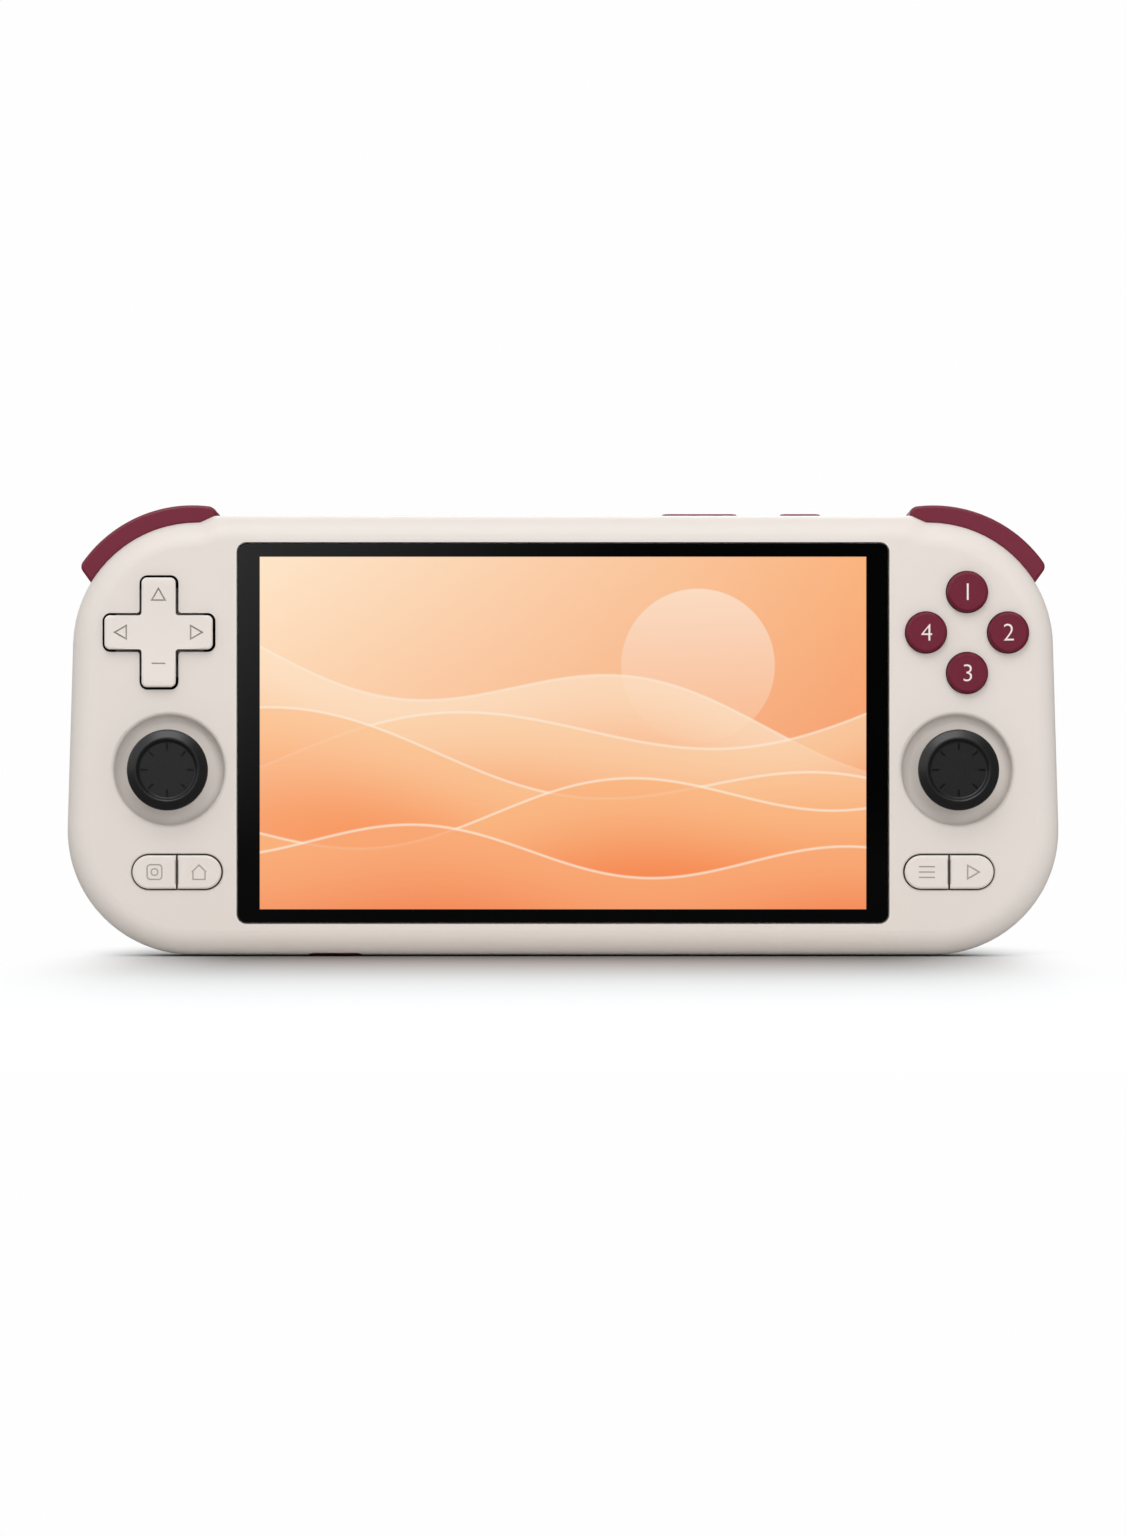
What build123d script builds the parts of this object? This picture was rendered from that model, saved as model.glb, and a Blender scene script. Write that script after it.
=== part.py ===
from build123d import *
import os
from math import atan, cos, degrees, radians, sin, sqrt

os.makedirs("parts", exist_ok=True)

# Handheld game console in millimetres, standing upright on its bottom edge.
# X points to the player's right, Z up, and the screen faces -Y.
# The origin is the middle of the bottom edge, on the plane where the two shells part.

# Body
body_height = 88.2
half_width_bottom = 100.3
side_taper = 2.6
wing_width = 35.2
shell_depth = 9.0
corner_radius = 25.0
edge_round = 5.0
wall = 1.8
overrun = 2.0

# Clearances
slip = 0.1
fit = 0.02
running = 0.05

# Top corners, stepped down for the shoulder keys
shoulder_step = 1.37
shoulder_radius = 25.0
bend_radius = 2.0
bend_run = 3.0
bend_margin = 0.5

# Rear grips
grip_overlap = 5.1
grip_inset = 7.0
grip_drop = 20.8
grip_depth = 6.0
grip_slope = 30.0
grip_corner = 12.0
grip_round = 4.0

# Screen
glass_bottom = 6.5
glass_drop = 5.7
glass_thickness = 1.1
glass_corner = 1.8
glass_setback = 0.15
glass_gap = 0.2
glass_bevel = 0.15
display_border_x = 2.5
display_border_z = 1.7
display_thickness = 2.5
display_gap = 0.4
ledge_border = 1.9
ledge_depth = 1.0

# Frame, boards and battery
frame_gap = 0.25
frame_thickness = 1.0
frame_reach = 0.5
frame_bottom = 7.0
frame_drop = 6.6
frame_corner = 2.0
frame_boss_inset = 1.0
frame_boss_radius = 1.5
frame_boss_rise = 13.0
frame_boss_drop = 12.2
standoff = 0.8
standoff_radius = 2.0
board_thickness = 1.0
board_inset = 7.1
board_bottom = 3.4
board_top = 37.6
board_corner = 1.0
board_hole_inset = 2.8
board_hole_heights = (9.5, 34.0)
battery_rise = 2.4
battery_drop = 7.2
battery_thickness = 8.0
battery_corner = 1.5
shield_inset = 28.0
shield_bottom = 12.0
shield_height = 22.0
shield_depth = 2.0
shield_sheet = 0.3
spreader_margin = 3.0
spreader_thickness = 0.8
chip_size = 12.0
chip_depth = 1.2
chip_margin = 7.0
wing_board_gap = 1.3
wing_board_bottom = 8.0
wing_board_drop = 9.7
board_margin = 0.6
boss_margin = 0.4

# Screws
screw_radius = 0.75
screw_length = 2.4
screw_head_radius = 1.3
screw_head_height = 0.6
case_screw_radius = 1.0
case_head_radius = 1.9
case_head_height = 1.2
cross_slot_length = 2.2
cross_slot_width = 0.55
cross_slot_depth = 0.7
case_seat = 5.5
case_screw_end = -5.5
boss_radius = 2.2
rear_boss_radius = 3.2
boss_column_gap = 3.1
boss_low = 8.5
boss_middle_share = 0.5724
boss_drop = 9.0
outer_boss_inset = 7.16
outer_boss_share = 0.5893

# Wing controls, with depths counted forward from the plane where the shells part
control_offset = 15.7
control_height_share = 0.7325
dpad_width = 21.6
dpad_height = 21.9
dpad_arm = 6.8
dpad_gap = 0.5
dpad_proud = 1.6
dpad_outer_corner = 1.1
dpad_inner_corner = 0.6
dpad_dish = 0.4
dpad_edge_round = 0.5
dpad_flange_radius = 11.8
dpad_flange_front = 5.9
dpad_flange_back = 5.2
dpad_hub_radius = 2.6
dpad_hub_back = 4.5
dpad_pivot = 5.0
dpad_ball_radius = 1.6
dpad_post_radius = 2.2
dpad_post_front = 4.1

mark_depth = 0.15
mark_line = 0.26
dpad_mark_radius = 7.2
dpad_mark_width = 3.2
dpad_bar_radius = 6.2
dpad_bar_width = 2.7

face_offset_x = 8.2
face_offset_z = 8.1
face_radius = 4.05
face_gap = 0.2
face_proud = 1.8
face_edge = 0.5
face_flange = 0.8
face_flange_depth = 0.8
face_flat = 3.2
face_stem_radius = 2.0
face_stem_end = 5.0

membrane_radius = 12.0
membrane_thickness = 0.4
dome_foot = 3.0
dome_top = 2.0
dpad_dome_radius = 7.8
dpad_dome_foot = 2.4
dpad_dome_top = 1.7

pill_offset = 12.1
pill_height_share = 0.1893
pill_width = 17.8
pill_height = 6.7
pill_split = 0.3
pill_gap = 0.22
pill_mouth_round = 0.35
pill_proud = 0.7
pill_edge = 0.5
pill_flange = 0.7
pill_flange_depth = 0.7
pill_stem_radius = 1.5
pill_stem_end = 5.0
pill_pad_margin = 0.6
icon_size = 3.2
icon_rows = 3

# Thumb sticks, with depths counted forward from the pivot and the pivot itself from the front face
stick_offset = 13.7
stick_height_share = 0.4207
stick_pivot = 7.0
bowl_radius = 11.0
bowl_round = 0.8
bowl_draft = 0.5
bowl_depth = 2.8
bowl_floor = 1.0
bowl_foot_round = 1.6
bowl_skin = 1.2
lip_radius = 6.45
dome_outer = 6.2
dome_inner = 5.6
dome_angle = 70.0
neck_radius = 2.6
cap_radius = 8.1
cap_top = 12.2
cap_edge = 11.4
cap_edge_bottom = 10.9
cap_under = 10.6
cap_under_radius = 7.7
cap_dish_radius = 5.6
cap_dish = 11.5
cap_crest_inner = 6.1
cap_crest_outer = 6.5
cap_cone_root = 8.9
cap_rounds = (0.25, 0.3, 0.9, 0.6, 0.1, 0.1, 1.0)
tick_count = 8
tick_inner = 3.9
tick_outer = 5.3
tick_width = 0.4
tick_depth = 0.2
stem_radius = 1.4
stem_back = 1.35
stem_end_bevel = 0.6
stem_front = 10.3
housing_half = 7.8
housing_wall = 0.9
housing_floor = 1.0
housing_front = 1.9
housing_back = 3.4
housing_flange = 1.1
housing_flange_depth = 0.8
upright_inner = 4.1
upright_outer = 4.9
upright_half = 1.2
upright_front = 1.1
ring_outer = 3.9
ring_inner = 2.9
ring_half_depth = 0.9
ring_corner = 1.5
ring_pin_radius = 0.6
rocker_half = 2.2
rocker_half_depth = 1.2
rocker_pin_radius = 0.5
rocker_pin_end = 3.6
click_button_radius = 1.5
click_button_depth = 0.4

# Shoulder keys
key_front_gap = 0.3
lip_depth = 5.4
seat_depth = 2.6
seat_thickness = 1.2
seat_clearance = 0.2
opening_angle = 27.3
trigger_opening_angle = 23.9
opening_inner_x = 4.06
key_inner_x = 3.71
key_tuck = 0.3
key_shift_x = 1.04
key_shift_z = 1.37
key_radius = 27.2
key_tip_angle = 33.0
key_foot_angle = 30.6
key_end_round = 1.7
key_foot_round = 0.8
key_tip_round = 1.6
key_tip_foot_round = 0.8
key_edge_round = 0.6
bumper_back = 1.9
key_split = 0.4
trigger_back = 10.3
trigger_shrink = 0.25
hinge_x = 1.48
hinge_drop = 19.4
hinge_pin_radius = 0.8
ear_radius = 1.7
ear_thickness = 2.0
ear_slot = 0.5
bumper_ear_middle = -1.4
trigger_ear_middle = 4.8
ear_gap = 0.2
hinge_rib = 0.9
hinge_rib_half = 2.3
hinge_rib_drop = 1.9
bracket_end_wall = 1.2
bracket_end_gap = 0.3
bracket_end_drop = 0.7
bracket_tab = 1.4
bracket_end_back = 3.8
bracket_angle_gap = 0.4
spring_sheet = 0.3
spring_width = 3.0
spring_middle = 7.0
spring_angles = (66.0, 56.0, 37.0)

# Tact switches
switch_width = 3.0
switch_length = 2.6
switch_height = 1.0
plunger_radius = 0.7
plunger_height = 0.4
bumper_switch_angle = 40.0
trigger_switch_angle = 64.0
bumper_switch_y = -0.7
trigger_switch_y = 3.9

# Keys on the top edge
volume_inset = 37.6
volume_length = 15.1
power_inset = 17.3
power_length = 8.2
side_key_depth = 3.0
side_key_proud = 0.5
side_key_gap = 0.15
side_key_round = 0.4
side_flange = 0.8
side_flange_depth = 0.8
side_travel = 0.4
rocker_room = 0.3
volume_switch_offset = 5.0
side_board_margin = 4.0
side_board_depth = 4.4
side_board_rib = 1.5

# Bottom edge
usb_width = 8.94
usb_depth = 3.2
usb_length = 7.35
usb_mouth = 0.35
usb_skin = 0.3
usb_tongue_width = 6.7
usb_tongue_depth = 0.7
usb_tongue_length = 5.4
usb_recess_width = 13.0
usb_recess_depth = 5.0
usb_recess_height = 0.5
jack_inset = 20.1
jack_half = 2.9
jack_length = 15.0
jack_nose_top = 3.0
jack_mouth = 0.3
jack_bore_radius = 1.8
jack_bore_length = 14.0
tray_inset = 19.4
tray_width = 10.6
tray_front = -5.9
tray_back = -0.4
tray_corner = 1.2
tray_plate = 1.6
tray_blade_width = 9.8
tray_blade_thickness = 0.8
tray_blade_length = 16.0
tray_card_width = 8.8
tray_card_length = 12.3
tray_card_rim = 0.25
tray_card_foot = 1.6
tray_pin_radius = 0.45
socket_width = 13.2
socket_bottom = 4.0
socket_length = 15.0
socket_skin = 0.35

# Speakers, motor and flat cables
speaker_offset = 6.9
speaker_width = 12.0
speaker_bottom = 4.9
speaker_height = 9.5
speaker_depth = 6.0
speaker_corner = 1.5
grille_count = 5
grille_pitch = 2.1
grille_hole_radius = 0.6
grille_y = 2.2
motor_radius = 5.0
motor_depth = 2.7
flex_thickness = 0.15
flex_width = 7.0
flex_z = 20.0
flex_reach = 4.6
connector_depth = 0.9
connector_width = 2.4
display_flex_width = 24.0
display_flex_top = 12.0
display_flex_bottom = 5.2
display_flex_bend = 0.35

# Vents in the rear shell
vent_length = 24.0
vent_width = 1.6
vent_pitch = 4.0
vent_rows = 5
vent_middle = 24.0
vent_column = 17.0

# Widths that follow from the body, with wing_x where each wing starts beside the screen
wing_x = half_width_bottom - wing_width
glass_width = 2 * wing_x
display_width = glass_width - 2 * display_border_x
frame_half_width = wing_x + frame_reach
frame_boss_x = frame_half_width - frame_boss_inset
board_half_width = wing_x - board_inset
board_hole_x = board_half_width - board_hole_inset
battery_width = 2 * board_half_width
shield_width = 2 * (board_half_width - shield_inset)
chip_pitch = (shield_width - chip_size) / 2 - chip_margin
wing_board_inner_x = wing_x + wing_board_gap
boss_column_x = wing_x + boss_column_gap
outer_boss_x = half_width_bottom - outer_boss_inset
control_x = wing_x + control_offset
stick_x = wing_x + stick_offset
pill_x = wing_x + pill_offset
speaker_inner_x = wing_x + speaker_offset
grip_inner_x = wing_x - grip_overlap
volume_x = wing_x - volume_inset
power_x = wing_x - power_inset
jack_x = wing_x - jack_inset
tray_x = tray_inset - wing_x

# Heights that follow from the body
glass_height = body_height - glass_bottom - glass_drop
screen_middle = glass_bottom + glass_height / 2
display_height = glass_height - 2 * display_border_z
frame_top = body_height - frame_drop
frame_boss_heights = (frame_boss_rise, body_height - frame_boss_drop)
battery_bottom = board_top + battery_rise
battery_height = body_height - battery_drop - battery_bottom
wing_board_top = body_height - wing_board_drop
boss_middle = boss_middle_share * body_height
boss_high = body_height - boss_drop
outer_boss_z = outer_boss_share * body_height
control_z = control_height_share * body_height
stick_z = stick_height_share * body_height
pill_z = pill_height_share * body_height
grip_height = body_height - grip_drop

# Depths that follow from the stack, negative towards the viewer
inner_face = wall - shell_depth
glass_front = glass_setback - shell_depth
glass_back = glass_front + glass_thickness
display_back = glass_back + display_thickness
ledge_back = inner_face + ledge_depth
frame_front = display_back + frame_gap
frame_back = frame_front + frame_thickness
board_front = frame_back + standoff
board_back = board_front + board_thickness
lip_back = lip_depth - shell_depth
key_front = lip_back + key_front_gap
trigger_front = bumper_back + key_split
stick_pivot_y = stick_pivot - shell_depth
usb_middle = board_back + usb_depth / 2
jack_middle = board_back + jack_half
side_board_left = volume_x - volume_length / 2 - side_board_margin
side_board_right = power_x + power_length / 2 + side_board_margin
side_flange_bottom = body_height - wall - slip - side_flange_depth
side_board_top = side_flange_bottom - side_travel - plunger_height - switch_height
side_board_bottom = side_board_top - board_thickness
grip_lean = sin(radians(grip_slope)) / cos(radians(grip_slope))

# Shoulder arc centre, right-hand side
side_slope = side_taper / body_height
shoulder_z = body_height - shoulder_step - shoulder_radius
shoulder_x = half_width_bottom - side_slope * shoulder_z - shoulder_radius * sqrt(1 + side_slope**2)
seat_radius = shoulder_radius - seat_depth
seat_inner_radius = seat_radius - seat_thickness
opening_x = shoulder_x - opening_inner_x
key_end_x = shoulder_x - key_inner_x
key_foot_radius = shoulder_radius - key_tuck
hinge = (shoulder_x + hinge_x, shoulder_z + hinge_drop)

board_boss_places = (
    (stick_x + bowl_radius + bowl_skin, stick_z - bowl_radius + boss_radius),
    (stick_x - bowl_radius + boss_radius - slip, stick_z - bowl_radius),
    (stick_x - bowl_radius + boss_radius - slip, control_z + bowl_radius),
)
case_boss_places = (
    (boss_column_x, boss_low),
    (boss_column_x, boss_middle),
    (outer_boss_x, outer_boss_z),
    (boss_column_x, boss_high),
)
face_places = {
    "top": (control_x, control_z + face_offset_z),
    "right": (control_x + face_offset_x, control_z),
    "bottom": (control_x, control_z - face_offset_z),
    "left": (control_x - face_offset_x, control_z),
}


def facing(y):
    """Drawing plane at depth y that faces the viewer, with x to the right and z up."""
    return Plane.XZ.offset(-y)


def backing(y):
    """Drawing plane at depth y that faces away from the viewer, with -x to the right and z up."""
    return Plane(origin=(0, y, 0), x_dir=(-1, 0, 0), z_dir=(0, 1, 0))


def turning(x, z):
    """Drawing plane through the line along Y at x and z, with the radius and y as its axes."""
    return Plane(origin=(x, 0, z), x_dir=(1, 0, 0), z_dir=(0, 0, 1))


def line_along_y(x, z):
    """Axis along Y through x and z."""
    return Axis((x, 0, z), (0, 1, 0))


def side_x(z, inset=0.0):
    """Half the body's width at height z, moved inward by inset."""
    return half_width_bottom - side_slope * z - inset * sqrt(1 + side_slope**2)


def on_shoulder(radius, angle):
    """Point at a radius and angle about the right-hand shoulder centre."""
    return (shoulder_x + radius * cos(radians(angle)), shoulder_z + radius * sin(radians(angle)))


def mirrored_places(places):
    """The given right-hand places and their left-hand twins."""
    return [*places, *((-x, z) for x, z in places)]


def turned(plane_point, direction):
    """Drawing plane at a point whose outward direction lies in the XZ plane."""
    return Plane(origin=plane_point, x_dir=(0, 1, 0), z_dir=direction)


def save(piece, name):
    """Label a finished piece and write it under its node's name."""
    piece.part.label = name
    export_step(piece.part, f"parts/{name}.step")


def save_pair(piece, name):
    """Write a right-hand piece and its mirrored left-hand twin."""
    save(piece, f"right_{name}")
    with BuildPart() as twin:
        mirror(piece.part, about=Plane.YZ)
    save(twin, f"left_{name}")


def body_profile(y, inset):
    """Outline of the body at depth y, moved inward by inset, with both stepped shoulders."""
    top = body_height - inset
    low = top - shoulder_step
    bend_end = shoulder_x - bend_margin
    with BuildSketch(facing(y)) as profile:
        with BuildLine():
            FilletPolyline(
                (0, inset),
                (side_x(inset, inset), inset),
                (side_x(low, inset), low),
                (bend_end, low),
                (bend_end - bend_run, top),
                (0, top),
                radius=[corner_radius - inset, shoulder_radius - inset, bend_radius, bend_radius],
            )
            mirror(about=Plane.YZ)
        make_face()
    return profile.sketch


def shoulder_opening(y, angle):
    """Both corner regions beyond the shoulder seats, above the given angle."""
    far = shoulder_radius + shoulder_step + overrun
    end = opening_x
    inner = seat_inner_radius - seat_clearance
    with BuildSketch(facing(y)) as opening:
        with BuildLine():
            seat = CenterArc((shoulder_x, shoulder_z), inner, angle, 90 - angle)
            Polyline(
                seat @ 1,
                (end, shoulder_z + inner),
                (end, shoulder_z + far),
                (shoulder_x + far, shoulder_z + far),
                on_shoulder(far / cos(radians(angle)), angle),
                seat @ 0,
            )
        make_face()
        mirror(about=Plane.YZ)
    return opening.sketch


def cross_profile(y, x, grow):
    """Cross of the direction pad at depth y, grown outward all round by grow."""
    with BuildSketch(facing(y)) as cross:
        with Locations((x, control_z)):
            Rectangle(dpad_width + 2 * grow, dpad_arm + 2 * grow)
            Rectangle(dpad_arm + 2 * grow, dpad_height + 2 * grow)
        corners = cross.vertices().sort_by_distance((x, control_z))
        fillet(corners[4:], dpad_outer_corner + grow)
        inner = cross.vertices().sort_by_distance((x, control_z))[:4]
        fillet(inner, dpad_inner_corner)
    return cross.sketch


def key_profile(y, shrink):
    """Right-hand shoulder key seen from the front, with its outer arc moved inward by shrink."""
    arc_x = shoulder_x + key_shift_x
    arc_z = shoulder_z + key_shift_z
    radius = key_radius - shrink
    end_angle = 90 + degrees(atan((arc_x - key_end_x) / sqrt(radius**2 - (arc_x - key_end_x) ** 2)))
    with BuildSketch(facing(y)) as key:
        with BuildLine():
            outer = CenterArc((arc_x, arc_z), radius, key_tip_angle, end_angle - key_tip_angle)
            inner = CenterArc((shoulder_x, shoulder_z), key_foot_radius, key_foot_angle, 90 - key_foot_angle)
            Polyline(outer @ 1, (key_end_x, shoulder_z + key_foot_radius), inner @ 1)
            Line(inner @ 0, outer @ 0)
        make_face()
        end = key.vertices().group_by(Axis.X)[0].sort_by(Axis.Y)
        fillet(end[-1], key_end_round)
        fillet(end[0], key_foot_round)
        tip = key.vertices().sort_by(Axis.X)
        fillet(tip[-1], key_tip_round)
        fillet(tip[-2], key_tip_foot_round)
    return key.sketch


def grip_profile(y, side, skin):
    """Section of a rear grip at depth y, drawn back inside its skin."""
    inset = grip_inset + skin + (y - shell_depth) * grip_lean
    high = grip_height - inset
    inner_x = grip_inner_x - grip_inset + inset
    corner = grip_corner - skin - (y - shell_depth) * grip_lean
    with BuildSketch(backing(y)) as section:
        with BuildLine():
            FilletPolyline(
                (-side * inner_x, inset),
                (-side * side_x(inset, inset), inset),
                (-side * side_x(high, inset), high),
                (-side * inner_x, high),
                radius=[corner, corner_radius - inset, corner, corner],
                close=True,
            )
        make_face()
    return section.sketch


def discs(y, places, radius):
    """Equal discs at depth y, at the given x and z."""
    with BuildSketch(facing(y)) as found:
        with Locations(*places):
            Circle(radius)
    return found.sketch


frame_boss_places = mirrored_places([(frame_boss_x, z) for z in frame_boss_heights])
board_hole_places = mirrored_places([(board_hole_x, z) for z in board_hole_heights])
stick_line = [(stick_x, stick_z)]

# Outer forms of the two shells, before they are hollowed
with BuildPart() as front_form:
    extrude(body_profile(0, 0), amount=shell_depth)
    fillet(front_form.faces().sort_by(Axis.Y)[0].edges(), edge_round)

with BuildPart() as rear_form:
    extrude(body_profile(shell_depth, 0), amount=shell_depth)
    fillet(rear_form.faces().sort_by(Axis.Y)[-1].edges(), edge_round)
    for side in (1, -1):
        crest = grip_profile(shell_depth + grip_depth, side, 0)
        loft([grip_profile(shell_depth, side, 0), crest], ruled=True)
    crests = rear_form.faces().filter_by(Axis.Y).group_by(Axis.Y)[-1]
    fillet(crests.edges(), grip_round)


def key_openings():
    """Openings for the keys in the top edge, seen from above."""
    with BuildSketch(Plane.XY.offset(body_height - wall - overrun)) as openings:
        with Locations((volume_x, 0)):
            SlotOverall(volume_length + 2 * side_key_gap, side_key_depth + 2 * side_key_gap)
        with Locations((power_x, 0)):
            SlotOverall(power_length + 2 * side_key_gap, side_key_depth + 2 * side_key_gap)
    return openings.sketch


def port_openings():
    """Openings for the ports, the card tray and the speakers in the bottom edge."""
    with BuildSketch(Plane.XY.offset(-overrun)) as openings:
        with Locations((0, usb_middle)):
            SlotOverall(usb_width + 2 * slip, usb_depth + 2 * slip)
        with Locations((jack_x, jack_middle)):
            Circle(jack_half + slip)
        with Locations((tray_x, (tray_front + tray_back) / 2)):
            RectangleRounded(tray_width + 2 * slip, tray_back - tray_front + 2 * slip, tray_corner + slip)
        for side in (1, -1):
            with Locations((side * (speaker_inner_x + speaker_width / 2), grille_y)):
                with GridLocations(grille_pitch, 0, grille_count, 1):
                    Circle(grille_hole_radius)
    return openings.sketch


def port_recess():
    """Shallow recess round the USB-C port."""
    with BuildSketch(Plane.XY.offset(-overrun)) as recess:
        with Locations((0, usb_middle)):
            SlotOverall(usb_recess_width, usb_recess_depth)
    return recess.sketch


# Front shell
with BuildPart() as front_shell:
    add(front_form.part)
    extrude(body_profile(0, wall), amount=-inner_face, mode=Mode.SUBTRACT)
    cavity = front_shell.faces().filter_by(Axis.Y).sort_by(Axis.Y)[1]
    fillet(cavity.edges(), edge_round - wall)
    # Ledge round the screen window
    with BuildSketch(facing(ledge_back)):
        with Locations((0, screen_middle)):
            Rectangle(glass_width + 2 * ledge_border, glass_height + 2 * ledge_border)
    extrude(amount=ledge_depth + wall / 2)
    # Bosses for the mid frame, the control boards and the case screws
    extrude(
        discs(frame_front, frame_boss_places, frame_boss_radius),
        amount=frame_front - ledge_back + wall / 2,
    )
    extrude(
        discs(board_front, mirrored_places(board_boss_places), standoff_radius),
        amount=board_front - inner_face + wall / 2,
    )
    extrude(discs(0, mirrored_places(case_boss_places[:3]), boss_radius), amount=shell_depth - wall / 2)
    extrude(
        discs(-bracket_tab, mirrored_places(case_boss_places[3:]), boss_radius),
        amount=shell_depth - wall / 2 - bracket_tab,
    )
    # Thick floor under each stick bowl
    bowl_back = -shell_depth + bowl_depth + bowl_floor
    extrude(
        discs(bowl_back, mirrored_places(stick_line), bowl_radius + bowl_skin),
        amount=bowl_depth + bowl_floor - wall / 2,
    )
    for side in (1, -1):
        # Bowl of the thumb stick, with a ball-shaped lip round its hole
        with BuildSketch(turning(side * stick_x, stick_z)):
            with BuildLine():
                rim = bowl_radius + bowl_round
                corner = bowl_round * (1 - cos(radians(45)))
                over = Polyline(
                    (0, -shell_depth - overrun), (rim, -shell_depth - overrun), (rim, -shell_depth)
                )
                bend = ThreePointArc(
                    over @ 1,
                    (bowl_radius + corner, -shell_depth + corner),
                    (bowl_radius, -shell_depth + bowl_round),
                )
                FilletPolyline(
                    bend @ 1,
                    (bowl_radius - bowl_draft, -shell_depth + bowl_depth),
                    (0, -shell_depth + bowl_depth),
                    radius=bowl_foot_round,
                )
                Line((0, -shell_depth + bowl_depth), over @ 0)
            make_face()
        revolve(axis=line_along_y(side * stick_x, stick_z), mode=Mode.SUBTRACT)
        with Locations((side * stick_x, stick_pivot_y, stick_z)):
            Sphere(lip_radius, mode=Mode.SUBTRACT)
    # Window and glass seat
    with BuildSketch(facing(glass_back)):
        with Locations((0, screen_middle)):
            RectangleRounded(
                glass_width + 2 * glass_gap,
                glass_height + 2 * glass_gap,
                glass_corner + glass_gap,
            )
    extrude(amount=overrun, mode=Mode.SUBTRACT)
    with BuildSketch(facing(ledge_back + overrun)):
        with Locations((0, screen_middle)):
            Rectangle(display_width + 2 * display_gap, display_height + 2 * display_gap)
    extrude(amount=shell_depth, mode=Mode.SUBTRACT)
    # Holes for the pad, the buttons and the pill pairs
    extrude(cross_profile(ledge_back, -control_x, dpad_gap), amount=shell_depth, mode=Mode.SUBTRACT)
    face_holes = discs(ledge_back, face_places.values(), face_radius + face_gap)
    extrude(face_holes, amount=shell_depth, mode=Mode.SUBTRACT)
    with BuildSketch(facing(ledge_back)):
        with Locations((pill_x, pill_z), (-pill_x, pill_z)):
            SlotOverall(pill_width + 2 * pill_gap, pill_height + 2 * pill_gap)
    extrude(amount=shell_depth, mode=Mode.SUBTRACT)
    mouths = front_shell.edges().filter_by_position(Axis.Y, -shell_depth - slip, -shell_depth + slip)
    mouths = mouths.filter_by_position(Axis.Z, pill_z - pill_height, pill_z + pill_height)
    fillet([edge for edge in mouths if abs(abs(edge.center().X) - pill_x) < pill_width], pill_mouth_round)
    # Screw holes, blind from behind
    extrude(
        discs(0, mirrored_places(case_boss_places), case_screw_radius + fit),
        amount=slip - case_screw_end,
        mode=Mode.SUBTRACT,
    )
    extrude(
        discs(board_front, mirrored_places(board_boss_places), screw_radius + fit),
        amount=screw_length - board_thickness + slip,
        mode=Mode.SUBTRACT,
    )
    extrude(
        discs(frame_front, frame_boss_places, screw_radius + fit),
        amount=screw_length - frame_thickness + slip,
        mode=Mode.SUBTRACT,
    )
    # Corner openings for the shoulder keys, behind the front lip
    extrude(shoulder_opening(0, opening_angle), amount=-lip_back, mode=Mode.SUBTRACT)

    extrude(key_openings(), amount=wall + 2 * overrun, mode=Mode.SUBTRACT)
    extrude(port_openings(), amount=overrun + speaker_bottom - slip, mode=Mode.SUBTRACT)
    extrude(port_recess(), amount=overrun + usb_recess_height, mode=Mode.SUBTRACT)
    # Ribs that hold the side key board under the top edge
    with BuildSketch(facing(-slip)):
        reach = side_board_rib / 2 + running
        for x in (side_board_left - reach, side_board_right + reach):
            with Locations((x, (side_board_bottom + body_height - wall) / 2)):
                Rectangle(side_board_rib, body_height - wall - side_board_bottom + wall / 2)
    extrude(amount=side_board_depth / 2)
save(front_shell, "front_shell")

# Posts for the case screws in the rear shell, trimmed by its outer form
with BuildPart() as rear_posts:
    extrude(
        discs(shell_depth + grip_depth, mirrored_places(case_boss_places), rear_boss_radius),
        amount=shell_depth + grip_depth,
    )
    add(rear_form.part, mode=Mode.INTERSECT)

# Rear shell
with BuildPart() as rear_shell:
    add(rear_form.part)
    extrude(body_profile(-inner_face, wall), amount=-inner_face, mode=Mode.SUBTRACT)
    floor = rear_shell.faces().filter_by(Axis.Y).sort_by_distance((0, -inner_face, screen_middle))[0]
    fillet(floor.edges(), edge_round - wall)
    for side in (1, -1):
        skin = wall / cos(radians(grip_slope))
        inner = grip_profile(-inner_face, side, skin)
        crest = grip_profile(shell_depth + grip_depth - wall, side, skin)
        loft([inner, crest], ruled=True, mode=Mode.SUBTRACT)
    add(rear_posts.part)
    # Screw wells from behind, down to the screw seats
    extrude(
        discs(shell_depth + grip_depth + overrun, mirrored_places(case_boss_places), case_head_radius + slip),
        amount=shell_depth + grip_depth + overrun - case_seat,
        mode=Mode.SUBTRACT,
    )
    extrude(
        discs(case_seat, mirrored_places(case_boss_places), case_screw_radius + slip),
        amount=case_seat,
        mode=Mode.SUBTRACT,
    )
    extrude(
        shoulder_opening(shell_depth + overrun, trigger_opening_angle),
        amount=shell_depth + overrun,
        mode=Mode.SUBTRACT,
    )
    # Vents behind the main board
    with BuildSketch(facing(shell_depth + overrun)):
        with Locations((0, vent_middle)):
            with GridLocations(2 * vent_column, vent_pitch, 2, vent_rows):
                SlotOverall(vent_length, vent_width)
    extrude(amount=wall + 2 * overrun, mode=Mode.SUBTRACT)
    extrude(key_openings(), amount=wall + 2 * overrun, mode=Mode.SUBTRACT)
    extrude(port_openings(), amount=overrun + speaker_bottom - slip, mode=Mode.SUBTRACT)
    extrude(port_recess(), amount=overrun + usb_recess_height, mode=Mode.SUBTRACT)
save(rear_shell, "rear_shell")

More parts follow.
